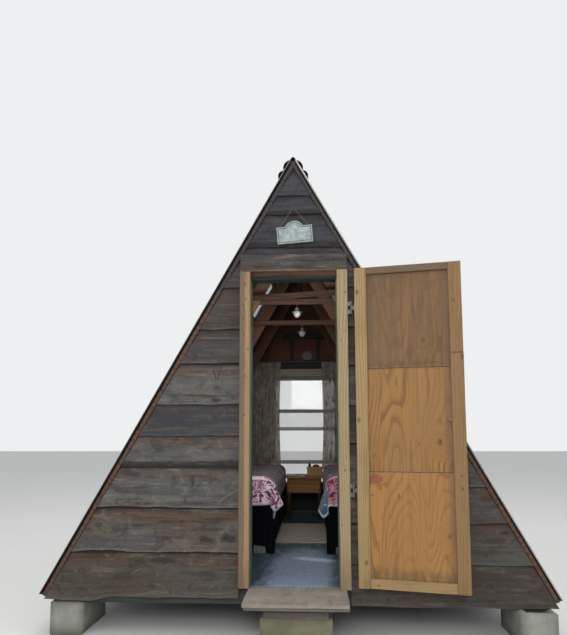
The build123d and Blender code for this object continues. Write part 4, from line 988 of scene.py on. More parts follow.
class CABIN_OT_siding(bpy.types.Operator):
    """Makes the lapped boards of the front and rear walls"""

    bl_idname = "cabin.siding"
    bl_label = "Siding"

    def execute(self, context):
        sizes, tints = context.scene.cabin_sizes, context.scene.cabin_colours
        greys = (tints.siding_brown, tints.siding_grey, tints.siding_blue, tints.bark)
        post_side = POST_OUTER_X + 0.002

        def left(z):
            return -roof_x(z, SIDING_IN), -post_side

        def right(z):
            return post_side, roof_x(z, SIDING_IN)

        def across(z):
            x = max(0.006, roof_x(z, SIDING_IN))
            return -x, x

        def rear_left(z):
            return -roof_x(z, SIDING_IN), WINDOW[0]

        def rear_right(z):
            return WINDOW[1], roof_x(z, SIDING_IN)

        def rear_low(z):
            return WINDOW[0], WINDOW[1]

        left_marks = {
            0: {"foot": corner_foot, "edge": 0.2},
            1: {"wild": 0.005, "rough": 0.0012, "edge": 0.5},
            2: {"wild": 0.006, "rough": 0.0005, "edge": 0.3},
            3: {"wild": 0.003, "rough": 0.0042, "edge": 0.95},
            5: {"wild": 0.002, "edge": 0.3},
            7: {"wild": 0.003, "rough": 0.0006, "edge": 0.3},
        }
        right_marks = {
            0: {"wild": 0.003, "edge": 0.3},
            1: {"wild": 0.003, "edge": 0.35},
            2: {"wild": 0.009, "rough": 0.0012, "edge": 0.8},
        }
        gable_marks = {
            0: {"edge": 0.2},
            1: {"wild": 0.009, "rough": 0.0032, "edge": 0.9},
            2: {"wild": 0.006, "rough": 0.0024, "edge": 0.85},
        }
        top = roof_z(post_side, SIDING_IN) - 0.03
        peak = RIDGE_Z - 0.09
        finish = weathered("siding_wood", *greys, FRONT_KNOTS, extras=(front_wear,))
        boards = siding_panel(LEFT_EDGES, top, left, FRONT, -1, sizes, 11, LEFT_TONES, left_marks)
        boards.take(siding_panel(RIGHT_EDGES, top, right, FRONT, -1, sizes, 12, RIGHT_TONES, right_marks))
        boards.make("front_boards", finish, "brown_siding", replaces=("siding_front",))
        finish = weathered(
            "gable_wood", tints.gable_brown, tints.gable_grey, tints.gable_grey, srgb(48, 34, 30),
            ((-0.02, 2.40, 0.004),), 0.4,
        )
        boards = siding_panel(GABLE_EDGES, peak, across, FRONT, -1, sizes, 13, GABLE_TONES, gable_marks)
        boards.make("gable_boards", finish, "brown_siding", replaces=("siding_gable",))
        finish = weathered("rear_siding_wood", *greys, inside=srgb(124, 74, 60))
        boards = siding_panel(REAR_EDGES, WINDOW[3] - 0.024, rear_left, REAR, 1, sizes, 14)
        boards.take(siding_panel(REAR_EDGES, WINDOW[3] - 0.024, rear_right, REAR, 1, sizes, 15))
        boards.make("rear_side_boards", finish, "brown_siding", replaces=("siding_rear_sides",))
        boards = siding_panel(REAR_EDGES, WINDOW[2] - 0.026, rear_low, REAR, 1, sizes, 16)
        boards.make("rear_low_boards", finish, "brown_siding", replaces=("siding_rear_below",))
        edges = [WINDOW[3]] + [e for e in REAR_EDGES if e > WINDOW[3]]
        boards = siding_panel(edges, peak, across, REAR, 1, sizes, 17)
        boards.make("rear_high_boards", finish, "brown_siding", replaces=("siding_rear_above",))
        return {"FINISHED"}


# Roof


class Graph:
    """A geometry tree with named inputs, which ends in real geometry with its material."""

    def __init__(self, name, inputs, points=False):
        self.tree = bpy.data.node_groups.new(name, "GeometryNodeTree")
        if points:
            self.socket("Geometry", "Geometry")
        for label, value in inputs.items():
            self.socket(label, "Int" if isinstance(value, int) else "Float").default_value = value
        self.socket("Material", "Material")
        self.socket("Geometry", "Geometry", "OUTPUT")
        self.given = self.tree.nodes.new("NodeGroupInput").outputs

    def socket(self, name, kind, way="INPUT"):
        return self.tree.interface.new_socket(name, in_out=way, socket_type="NodeSocket" + kind)

    def node(self, kind, inputs=None, out=0, **settings):
        """Adds a node, sets it up, fills its sockets and gives one of its outputs."""
        made = self.tree.nodes.new(kind)
        for key, value in settings.items():
            setattr(made, key, value)
        for key, value in (inputs or {}).items():
            if isinstance(value, bpy.types.NodeSocket):
                self.tree.links.new(value, made.inputs[key])
            else:
                made.inputs[key].default_value = value
        return made.outputs[out]

    def math(self, operation, first, second=0.0):
        return self.node("ShaderNodeMath", {0: first, 1: second}, operation=operation)

    def random(self, low, high, seed):
        """A random vector for each instance, from a fixed seed."""
        inputs = {"Min": low, "Max": high, "Seed": seed}
        return self.node("FunctionNodeRandomValue", inputs, data_type="FLOAT_VECTOR")

    def join(self, *pieces):
        together = self.tree.nodes.new("GeometryNodeJoinGeometry")
        for piece in pieces:
            self.tree.links.new(piece, together.inputs[0])
        return together.outputs[0]

    def finish(self, geometry):
        """Makes instances real, sets the material and gives the tree."""
        real = self.node("GeometryNodeRealizeInstances", {"Geometry": geometry})
        inputs = {"Geometry": real, "Material": self.given["Material"]}
        dressed = self.node("GeometryNodeSetMaterial", inputs)
        self.tree.links.new(dressed, self.tree.nodes.new("NodeGroupOutput").inputs[0])
        return self.tree


def wave_tree():
    """Geometry nodes that build a corrugated sheet, flat in its own plane."""
    g = Graph("corrugated_sheet", {
        "Waves": 10, "Pitch": 0.068, "Depth": 0.016, "Thickness": 0.0015, "Length": 3.0,
        "Steps": 12, "Rows": 12,
    })
    given = g.given
    width = g.math("MULTIPLY", given["Waves"], given["Pitch"])
    columns = g.math("ADD", g.math("MULTIPLY", given["Waves"], given["Steps"]), 1)
    sheet = g.node("GeometryNodeMeshGrid", {
        "Size X": given["Length"], "Size Y": width, "Vertices X": given["Rows"], "Vertices Y": columns,
    })
    across = g.node("ShaderNodeSeparateXYZ", {0: g.node("GeometryNodeInputPosition")}, 1)
    from_edge = g.math("ADD", across, g.math("MULTIPLY", width, 0.5))
    turn = g.math("MULTIPLY", g.math("DIVIDE", from_edge, given["Pitch"]), math.tau)
    swing = g.math("MULTIPLY", g.math("SUBTRACT", given["Depth"], given["Thickness"]), 0.5)
    lift = g.math("MULTIPLY", g.math("SUBTRACT", g.math("COSINE", turn), 1.0), swing)
    offset = g.node("ShaderNodeCombineXYZ", {2: lift})
    bent = g.node("GeometryNodeSetPosition", {"Geometry": sheet, "Offset": offset})
    below = g.math("MULTIPLY", given["Thickness"], -1.0)
    under = g.node("GeometryNodeExtrudeMesh", {"Mesh": bent, "Offset Scale": below, "Individual": False})
    whole = g.join(bent, g.node("GeometryNodeFlipFaces", {"Mesh": under}))
    merged = g.node("GeometryNodeMergeByDistance", {"Geometry": whole, "Distance": 0.00001})
    return g.finish(g.node("GeometryNodeSetShadeSmooth", {"Geometry": merged}))


def fastener_tree():
    """A washer and a head on every given point, along the point's facing, turned by a fixed seed."""
    g = Graph("fasteners", {
        "Washer Radius": 0.008, "Washer Height": 0.0015, "Head Radius": 0.0045, "Head Height": 0.005,
        "Head Sides": 6,
    }, points=True)
    given = g.given
    thick = given["Washer Height"]
    washer = g.node("GeometryNodeMeshCylinder", {
        "Vertices": 10, "Radius": given["Washer Radius"], "Depth": thick,
    })
    head = g.node("GeometryNodeMeshCone", {
        "Vertices": given["Head Sides"], "Radius Bottom": given["Head Radius"],
        "Radius Top": g.math("MULTIPLY", given["Head Radius"], 0.85), "Depth": given["Head Height"],
    })
    lift = g.node("ShaderNodeCombineXYZ", {"Z": g.math("MULTIPLY", thick, 0.5)})
    raised = g.node("GeometryNodeTransform", {"Geometry": head, "Translation": lift})
    facing = g.node("GeometryNodeInputNamedAttribute", {"Name": "facing"}, data_type="FLOAT_VECTOR")
    turned = g.node("FunctionNodeEulerToRotation", {0: g.random((0.0, 0.0, 0.0), (0.0, 0.0, 3.14), 4)})
    aimed = g.node("FunctionNodeAlignRotationToVector", {"Rotation": turned, "Vector": facing}, axis="Z")
    return g.finish(g.node("GeometryNodeInstanceOnPoints", {
        "Points": given["Geometry"], "Instance": g.join(washer, raised), "Rotation": aimed,
    }))


def from_tree(tree, name, spots=(), **inputs):
    """Runs a geometry tree and gives its mesh; spots are (point, facing) pairs that it works on."""
    mesh = bpy.data.meshes.new(name)
    mesh.from_pydata([spot[0] for spot in spots], [], [])
    if spots:
        facing = [c for spot in spots for c in spot[1]]
        mesh.attributes.new("facing", "FLOAT_VECTOR", "POINT").data.foreach_set("vector", facing)
    holder = bpy.data.objects.new(name, mesh)
    bpy.context.scene.collection.objects.link(holder)
    modifier = holder.modifiers.new("nodes", "NODES")
    modifier.node_group = tree
    for item in tree.interface.items_tree:
        if item.in_out == "INPUT" and item.name in inputs:
            modifier[item.identifier] = inputs[item.name]
    evaluated = holder.evaluated_get(bpy.context.evaluated_depsgraph_get())
    mesh = bpy.data.meshes.new_from_object(evaluated)
    bpy.data.objects.remove(holder)
    return mesh


SHEET_FRONT = FRONT - 0.040
SHEET_TOP = 0.016 * TAN + 0.002
SHEET_LENGTH = HALF_WIDTH / COS - SHEET_TOP


def lay_on_slope(mesh, sign, first_wave, waves, pitch, rise):
    """Moves a flat sheet onto one slope; its x runs down the slope and its y into the depth."""
    y0 = SHEET_FRONT + first_wave * pitch
    for v in mesh.vertices:
        d = SHEET_TOP + v.co.x + SHEET_LENGTH / 2
        y = min(REAR + 0.0398, y0 + v.co.y + waves * pitch / 2)
        v.co = on_roof(sign, d, v.co.z + rise, y)
    if sign > 0:
        mesh.flip_normals()


def sheet_piece(tree, name, sizes, material, slot, runs, node):
    """Corrugated sheets over runs of (sign, first wave, last wave, rise), joined into one piece."""
    sheets = []
    for sign, first, last, rise in runs:
        mesh = from_tree(
            tree, name, Waves=last - first, Pitch=sizes.wave_pitch, Depth=sizes.wave_depth,
            Thickness=sizes.sheet_thickness, Length=SHEET_LENGTH, Material=material,
        )
        lay_on_slope(mesh, sign, first, last - first, sizes.wave_pitch, rise)
        sheets.append(mesh)
    whole = joined(name, sheets)
    face_outwards(whole)
    return finish_piece(name, whole, material, slot, "cabin", (node,), 60)


def waves_before(y):
    """How many whole waves lie between the sheets' front edge and depth y."""
    return int((y - SHEET_FRONT) / 0.068)


def deck_shade(looks, tint, along, across):
    """Painted shade on the boards' undersides in the room, and greyer boards high up near the ridge, as their
    front ends show by the gable.
    """
    return looks.layers(
        tint,
        (along.between(FRONT - 0.02, FRONT + 0.02) * 0.75, srgb(18, 16, 19)),
        (across.between(-1.25, -1.75) * 0.75, srgb(42, 41, 47)),
    )


class CABIN_OT_roof(bpy.types.Operator):
    """Makes the corrugated sheets, the clear sheets and the planks under them"""

    bl_idname = "cabin.roof"
    bl_label = "Roof"

    def execute(self, context):
        sizes, tints = context.scene.cabin_sizes, context.scene.cabin_colours
        tree = wave_tree()
        sky_left = (waves_before(FRAMES[1] + 0.038) - 1, waves_before(FRAMES[2]) + 2)
        sky_right = (0, waves_before(FRAMES[1]) + 2)
        total = 46
        sheet_piece(
            tree, "roof_sheets_made", sizes, roofing(tints.roofing), "roof_metal",
            [(-1, 0, sky_left[0] + 1, 0), (-1, sky_left[1] - 1, total, 0), (1, sky_right[1] - 1, total, 0)],
            "roof_sheets",
        )
        sheet_piece(
            tree, "clear_sheets", sizes, clear_roofing(tints.skylight), "clear_sheet",
            [(-1, *sky_left, 0.0018), (1, *sky_right, 0.0018)], "skylights",
        )
        self.planks(sizes)
        dress("ridge_cap", cap_sheet(tints.cap))
        fasteners = fastener_tree()
        self.screws(fasteners, sizes)
        self.nails(fasteners)
        return {"FINISHED"}

    def planks(self, sizes):
        """The boards under the sheets, of uneven width, with open bays under the clear sheets."""
        shape = Shape()
        rng = random.Random(5)
        slope = HALF_WIDTH / COS
        for sign, y0, y1 in (
            (-1, FRONT - 0.031, FRAMES[1] + 0.038), (-1, FRAMES[2], REAR + 0.031),
            (1, FRONT - 0.031, FRONT + 0.038), (1, FRAMES[1], REAR + 0.031),
        ):
            down, out = Vector((sign * COS, 0, -SIN)), Vector((sign * SIN, 0, COS))
            d = 0.030
            while d < slope - 0.02:
                wide = min(sizes.plank_width * rng.uniform(0.75, 1.15), slope - d - 0.001)
                middle = on_roof(sign, d + wide / 2, -(DECK_IN + 0.011), 0)
                start, end = Vector((middle.x, y0, middle.z)), Vector((middle.x, y1, middle.z))
                plank(
                    shape, start, end, down, out, wide - 0.002, 0.0208, rng,
                    ragged=0.007, uneven=0.0003, step=0.2,
                )
                d += wide
        finish = wood(
            "deck_wood", srgb(98, 66, 46), srgb(56, 38, 27), "deck", 0.4, 0.3, srgb(58, 48, 40), 0.3,
            stain=srgb(38, 31, 26), extras=(deck_shade,),
        )
        shape.make("deck_planks", finish, "deck_boards", replaces=("roof_decks",))

    def screws(self, tree, sizes):
        """Rows of roofing screws on the sheets' crests."""
        spots = []
        for sign in (-1, 1):
            facing = Vector((sign * SIN, 0, COS))
            for d in (0.30, 0.85, 1.45, 2.05, 2.65, SHEET_LENGTH - 0.08):
                for wave in range(2, 45, 4):
                    spots.append((on_roof(sign, d, 0.0002, SHEET_FRONT + wave * sizes.wave_pitch), facing))
        radius = sizes.screw_radius
        inputs = {"Washer Radius": radius * 1.8, "Head Radius": radius}
        mesh = from_tree(tree, "roof_screws", spots, **inputs)
        steel = dull_metal("screw_metal", srgb(150, 150, 146), srgb(96, 62, 40))
        finish_piece("roof_screws", mesh, steel, "steel", smooth_by=40)

    def nails(self, tree):
        """Nails along the lapped boards of the front wall."""
        spots = []
        rng = random.Random(31)
        wall_top = roof_z(POST_OUTER_X, SIDING_IN) - 0.03
        for edges, top, side in (
            (LEFT_EDGES, wall_top, -1), (RIGHT_EDGES, wall_top, 1), (GABLE_EDGES, RIDGE_Z - 0.09, 0),
        ):
            for low, high in board_spans(edges, top):
                z = low + 0.035
                depth = 0.032 - 0.016 * (z - low) / (high - low)
                reach = roof_x(z, SIDING_IN)
                rows = [(reach - 0.05, -1), (reach - 0.05, 1)]
                if side:
                    rows = [(POST_OUTER_X + 0.03, 1), (reach - 0.06, 1)]
                if side and reach > 0.9:
                    rows.append(((POST_OUTER_X + reach) / 2, 1))
                for x, way in rows:
                    for k in range(2):
                        if rng.random() < 0.25:
                            continue
                        at = (side or way) * (x + rng.uniform(-0.008, 0.008))
                        up = z + k * 0.055 * (high - low) / 0.24
                        spots.append((Vector((at, FRONT - depth + 0.0012, up)), (0, -1, 0)))
        inputs = {
            "Washer Radius": 0.0034, "Washer Height": 0.0016, "Head Radius": 0.002, "Head Height": 0.0006,
        }
        mesh = from_tree(tree, "siding_nails", spots, **inputs)
        rusty = dull_metal("nail_metal", srgb(84, 74, 66), srgb(52, 38, 30))
        finish_piece("siding_nails", mesh, rusty, "steel", smooth_by=40)


# Stage


LAMPS = (
    ("doorway", (0.1, -6.0, 2.4), (0, 1.0, 0.6), 1.4, 92),
    ("key", (-3.5, -6.5, 6.0), (0, 0, 1.2), 5.0, 125),
    ("fill", (5.5, -4.5, 4.5), (0, 0, 1.0), 5.0, 90),
    ("room", (0.0, -0.95, 1.82), (0, 1.6, 1.1), 0.45, 4.5),
    ("top", (0, 1.5, 7.5), (0, 0, 1.0), 6.0, 170),
)


class CABIN_OT_stage(bpy.types.Operator):
    """Sets the floor, the light and the camera"""

    bl_idname = "cabin.stage"
    bl_label = "Stage"

    def execute(self, context):
        scene = context.scene
        scene.view_settings.view_transform = "Standard"
        mesh = bpy.data.meshes.new("studio_floor")
        size = 30.0
        corners = [(-size, -size, 0), (size, -size, 0), (size, size, 0), (-size, size, 0)]
        mesh.from_pydata(corners, [], [(0, 1, 2, 3)])
        paper = mottled("studio_floor", srgb(214, 212, 208), srgb(220, 219, 216), 0.9, (0.6, 2.0))
        mesh.materials.append(paper)
        floor = bpy.data.objects.new("studio_floor", mesh)
        scene.collection.objects.link(floor)
        self.world(scene)
        for name, place, target, size, power in LAMPS:
            lamp = bpy.data.lights.new(name, "AREA")
            lamp.size = size
            lamp.energy = power
            holder = bpy.data.objects.new(name, lamp)
            scene.collection.objects.link(holder)
            holder.visible_camera = False
            holder.location = place
            holder.rotation_euler = (Vector(target) - Vector(place)).to_track_quat("-Z", "Y").to_euler()
        self.camera(scene)
        return {"FINISHED"}

    def world(self, scene):
        """Soft light from all round, and a plain pale background in the picture."""
        looks = Looks("studio", "worlds")
        rays = [looks.node("LightPath", out=f"Is {ray} Ray") for ray in ("Camera", "Glossy", "Transmission")]
        seen = rays[0].math("MAXIMUM", rays[1]).math("MAXIMUM", rays[2])
        light = looks.node("Background", None, {0: (0.93, 0.96, 1.0, 1), 1: 0.68})
        back = looks.node("Background", None, {0: (0.93, 0.94, 0.95, 1), 1: 0.92})
        looks.node("OutputWorld", None, {0: looks.node("MixShader", None, {0: seen, 1: light, 2: back})})
        scene.world = looks.material

    def camera(self, scene):
        """The camera that the photograph's corners and edges fit, for a picture 635 pixels high."""
        high = 635
        data = bpy.data.cameras.new("camera")
        data.sensor_width = 36.0
        data.lens = 569.2 / high * data.sensor_width
        data.shift_y = 53.0 / high
        camera = bpy.data.objects.new("camera", data)
        scene.collection.objects.link(camera)
        camera.location = (0.122, FRONT - 3.465, 1.209)
        camera.rotation_mode = "XYZ"
        yaw, pitch, roll = math.radians(3.08), math.radians(6.08), math.radians(-0.11)
        turn = Matrix.Rotation(yaw, 3, "Z") @ Matrix.Rotation(math.pi / 2 + pitch, 3, "X")
        camera.rotation_euler = (turn @ Matrix.Rotation(roll, 3, "Z")).to_euler()
        scene.camera = camera


# Finishes for the nodes that keep their CAD shape


def right_side(looks, tint, along, across):
    """The right side's paler tan rafters."""
    side = looks.part(looks.place(), 0).between(0.0, 0.02)
    return looks.mix(side * 0.45, tint, srgb(140, 112, 78))


def header_stain(looks, tint, along, across):
    """The reddish brown band under the lintel, above the header's stained lower part."""
    ripple = looks.streaks(along * 6.0, across * 30.0, 0.0, 3.0, 0.6)
    return looks.mix((across + (ripple - 0.5) * 0.006).between(2.158, 2.166) * 0.85, tint, srgb(88, 54, 42))


class CABIN_OT_frame(bpy.types.Operator):
    """Gives the lumber, blocks and fittings their finishes and eased edges"""

    bl_idname = "cabin.frame"
    bl_label = "Frame and floor"

    def execute(self, context):
        tints = context.scene.cabin_colours
        green, brown = {}, {}
        for axis in ("x", "z"):
            green[axis] = wood(
                "green_lumber_" + axis, tints.green_light, tints.green_dark, axis, 0.3, 0.25,
                srgb(70, 60, 44), 0.4,
            )
        for axis in ("x", "y"):
            brown[axis] = wood(
                "brown_lumber_" + axis, tints.lumber_light, tints.lumber_dark, axis, 0.3, 0.3,
                srgb(90, 50, 34), 0.4,
            )
        rafter = wood(
            "rafter_wood", srgb(132, 92, 66), srgb(80, 52, 37), "slope", 0.3, 0.3, srgb(104, 60, 42), 0.4,
            extras=(right_side,),
        )
        # A paler copy of the green stain for the door studs: painted light on them at the doorway.
        lit_jamb = wood("lit_jamb_lumber", srgb(78, 108, 92), srgb(40, 60, 50), "z", cracks=0.3)
        header = wood(
            "header_wood", tints.green_light, tints.green_dark, "x", cracks=0.4, extras=(header_stain,)
        )
        paint = painted_floor(tints.floor_paint, tints.floor_worn)
        white = wood(
            "white_paint", srgb(190, 190, 184), srgb(128, 124, 112), "z", cracks=0.3, rings=8, ring_share=0.08
        )
        trim = wood("head_trim", srgb(186, 176, 156), srgb(140, 128, 108), "x", cracks=0.4)
        for node, name, stone in (
            ("foundation_blocks", "corner_blocks", concrete("concrete", tints.concrete)),
            ("step_block", "front_block", concrete("step_concrete", srgb(118, 116, 92))),
        ):
            softened(node, name, stone, "concrete", 0.004, rough=0.0012, cuts=3)
        for node, name, finish, slot, width in (
            ("rim_joists", "rim_lumber", green["x"], "green_lumber", 0.003),
            ("floor_joists", "joist_lumber", brown["y"], "lumber", 0.003),
            ("rafters", "rafter_lumber", rafter, "green_lumber", 0.003),
            ("ridge_board", "ridge_lumber", brown["y"], "green_lumber", 0.0015),
            ("collar_ties", "tie_lumber", brown["x"], "green_lumber", 0.003),
            ("roof_battens", "batten_lumber", brown["y"], "lumber", 0.002),
            ("door_studs", "stud_lumber", lit_jamb, "green_lumber", 0.003),
            ("door_header", "header_lumber", header, "green_lumber", 0.003),
            ("rear_rails", "rear_rail_lumber", green["x"], "green_lumber", 0.003),
            ("rear_studs", "rear_stud_lumber", green["z"], "green_lumber", 0.003),
            ("rear_sill", "sill_lumber", green["x"], "green_lumber", 0.003),
            ("floor_deck", "floor_boards", paint, "teal_paint", 0.002),
            ("window_frame", "window_casing", white, "white_paint", 0.002),
            ("sash_upper", "upper_sash", white, "white_paint", 0.003),
            ("sash_lower", "lower_sash", white, "white_paint", 0.003),
            ("window_head_trim", "head_trim_board", trim, "pale_lumber", 0.002),
        ):
            softened(node, name, finish, slot, width)
        self.fittings(dull_metal("dull_steel", tints.steel, srgb(96, 60, 38)))
        return {"FINISHED"}

    def fittings(self, steel):
        """The panes, the steel fittings and the lamps."""
        dress("window_glass", mottled(
            "pane_glass", (0.93, 0.97, 0.95), (0.86, 0.9, 0.88), 0.03, (12.0, 4.0), 0.05, Alpha=0.18
        ))
        for node in (
            "hinge_door_leaves", "hinge_post_leaves", "hinge_pins", "door_latch", "curtain_rod",
            "plaque_nail", "wall_disc",
        ):
            dress(node, steel)
        dress("lamp_shades", mottled(
            "lamp_shade", srgb(150, 152, 150), srgb(112, 112, 108), 0.25, (90.0, 4.0, 0.6), 0.2, Alpha=0.62
        ))
        dress("lamp_bulbs", mottled(
            "bulb_glass", (0.7, 0.7, 0.68), (0.5, 0.5, 0.48), 0.12, (30.0, 2.0), Alpha=0.45
        ))


# Doorway


def two_tone(looks, tint, along, across):
    """The left post's grey and pink face beside its orange inner strip, and a greyer foot."""
    left = across.between(0.0, -0.01)
    ripple = looks.streaks(across * 30.0, along * 5.0, 0.0, 4.0, 0.6)
    face = (across + (ripple - 0.5) * 0.02).between(-0.286, -0.300) * left
    tint = looks.mix(face * 0.78, tint, srgb(90, 70, 58))
    strip = (across + (ripple - 0.5) * 0.015).between(-0.292, -0.282) * left
    return looks.layers(
        tint,
        (strip * 0.40, srgb(146, 96, 58)),
        (along.between(0.62, 0.36) * ripple * 0.5, srgb(96, 74, 56)),
    )


def tread_front_shade(looks, tint, along, across):
    """Painted shade: the tread's front face darker than its top."""
    return looks.mix(looks.facing(1).between(-0.4, -0.8) * 0.30, tint, srgb(84, 70, 58))


class CABIN_OT_doorway(bpy.types.Operator):
    """Makes the posts, the lintel, the step and the plaque"""

    bl_idname = "cabin.doorway"
    bl_label = "Doorway and step"

    def execute(self, context):
        tints = context.scene.cabin_colours
        knots = (
            (2.104, -0.295, 0.007), (2.011, -0.289, 0.005), (1.974, -0.307, 0.004), (1.893, -0.306, 0.004),
            (1.795, -0.300, 0.005), (1.703, -0.275, 0.006), (1.539, -0.292, 0.005), (1.305, -0.297, 0.006),
            (2.045, 0.313, 0.006), (1.752, 0.285, 0.004), (0.98, 0.30, 0.005),
        )
        post = construction_lumber(
            "post_wood", tints.post_light, tints.post_dark, "z", knots, 0.9, (two_tone,)
        )
        low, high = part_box("door_posts")
        shape = Shape()
        rng = random.Random(3)
        for sign in (-1, 1):
            start = Vector((sign * (high.x - 0.032), (low.y + high.y) / 2, low.z))
            end = start + Z * (high.z - low.z)
            plank(
                shape, start, end, X, Y, 0.0636, high.y - low.y, rng,
                ragged=0.012 if sign < 0 else 0.003, uneven=0.0009, ease=0.004, step=0.06,
            )
        shape.make("post_boards", post, "pale_lumber", replaces=("door_posts",))
        lintel = weathered(
            "lintel_wood", srgb(50, 43, 38), srgb(64, 61, 58), srgb(42, 42, 46), srgb(46, 38, 33),
            ((-0.10, 2.24, 0.006), (0.19, 2.20, 0.005)), 0.5, extras=(lintel_wear,),
        )
        bar(
            "lintel_board", "lintel_plank", lintel, "weathered_board", rng, True,
            ragged=0.003, uneven=0.0016, step=0.03, tone=0.5,
        )
        pale = weathered(
            "tread_wood", srgb(126, 110, 96), srgb(138, 130, 120), srgb(116, 112, 106), srgb(96, 78, 60),
            ((-0.20, -1.50, 0.006),), 0.5, extras=(tread_front_shade,),
        )
        bar(
            "step_tread", "tread_board", pale, "pale_lumber", rng, slack=0.0045,
            ragged=0.004, uneven=0.0016, step=0.03, ease=0.004, tone=0.7,
        )
        # The packing's own grey, darkened as painted shade under the tread; the under board takes it too.
        grey = weathered(
            "shaded_packing_wood", srgb(80, 68, 56), srgb(94, 90, 84), srgb(78, 79, 78), srgb(70, 56, 42)
        )
        bar(
            "step_under_board", "under_board", grey, "weathered_board", rng,
            ragged=0.003, uneven=0.0012, step=0.04, tone=0.6,
        )
        self.packing(grey, rng)
        self.plaque()
        return {"FINISHED"}

    def packing(self, finish, rng):
        """Four short lengths of lumber in two layers between the step's block and its boards."""
        low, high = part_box("step_shims")
        shape = Shape()
        rise = (high.z - low.z) / 2
        for i in range(2):
            for k in range(2):
                y = low.y + (high.y - low.y) * (0.25 + 0.5 * k)
                z = low.z + rise * (i + 0.5)
                inset = rng.uniform(0.0, 0.02)
                plank(
                    shape, Vector((low.x + inset, y, z)), Vector((high.x - inset, y, z)), Y, Z,
                    (high.y - low.y) / 2 - 0.002, rise - 0.0004, rng,
                    ragged=0.003, uneven=0.0, tone=rng.random(),
                )
        shape.make("packing_lumber", finish, "weathered_board", replaces=("step_shims",))

    def plaque(self):
        """The arched board with a raised border, and the finish of its cord."""
        looks = Looks("plaque_paint")
        place = looks.place()
        blot = looks.cloud(place, 38.0, 5.0, 0.65)
        fine = looks.cloud(looks.scaled(place, (60.0, 1.0, 400.0)), 1.0, 3.0)
        tint = looks.layers(
            srgb(124, 134, 134),
            (blot.between(0.35, 0.68), srgb(160, 172, 170)),
            (blot.between(0.62, 0.72) * 0.6, srgb(88, 90, 86)),
            (looks.attribute("edge") * 0.8, srgb(70, 80, 74)),
        )
        paint = looks.painted(tint, 0.7, looks.bump(fine * 0.4 + blot * 0.6, 0.3, 0.001))
        tilt = math.radians(4.5)
        cos, sin = math.cos(tilt), math.sin(tilt)
        middle = Vector((0.009, 0.0, 2.424))
        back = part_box("plaque")[1].y
        outline = plaque_outline()
        steps = (
            (0.0, 0.0, 0.0), (0.0, 0.0085, 0.0), (0.0015, 0.010, 0.0), (0.007, 0.010, 0.4),
            (0.0085, 0.0082, 1.0), (0.0115, 0.0082, 1.0), (0.013, 0.010, 0.2), (0.05, 0.010, 0.0),
        )
        rings = [
            [(middle.x + (x * cos - z * sin), back - out, middle.z + (x * sin + z * cos))
             for x, z in inset_outline(outline, inset)]
            for inset, out, mark in steps
        ]
        shape = Shape()
        shape.loft(rings, edge=tuple(mark for inset, out, mark in steps))
        shape.make("plaque_board", paint, "plaque_wood", replaces=("plaque",), smooth_by=30)
        dress("plaque_cord", mottled(
            "twine", srgb(132, 108, 88), srgb(88, 70, 56), 0.9, (1.0, 2.0), 0.0, (300, 300, 300), (0.5, 0.001)
        ))


def plaque_outline():
    """Outline of the plaque about its own middle, its arch blended into the shoulders."""
    half_w, half_h, arch, rise = 0.111, 0.054, 0.062, 0.034
    centre = half_h + rise - arch
    reach = math.sqrt(arch * arch - (half_h - centre) ** 2)
    turn = math.atan2(half_h - centre, reach)
    points = [(-half_w, -half_h), (half_w, -half_h), (half_w, half_h), (reach + 0.010, half_h)]
    for i in range(17):
        a = turn + (math.pi - 2 * turn) * i / 16
        points.append((arch * math.cos(a), centre + arch * math.sin(a)))
    return points + [(-reach - 0.010, half_h), (-half_w, half_h)]


def inset_outline(points, inset):
    """The outline drawn in towards its middle by a distance, corner by corner."""
    if not inset:
        return points
    result = []
    count = len(points)
    for i, (x, z) in enumerate(points):
        before, after = Vector(points[i - 1]), Vector(points[(i + 1) % count])
        here = Vector((x, z))
        one = (here - before).normalized()
        two = (after - here).normalized()
        normal = Vector((-one.y - two.y, one.x + two.x))
        scale = inset / max(0.35, normal.length / 2)
        moved = here + normal.normalized() * min(scale, inset * 1.5)
        if inset > 0.03:
            moved = here * (1 - inset * 8.0)
        result.append((moved.x, moved.y))
    return result


# Door


def opened(point):
    """A point of the closed door, where it lies when the door stands open."""
    turn = Matrix.Rotation(DOOR_OPEN, 3, "Z")
    return HINGE + turn @ (point - HINGE)


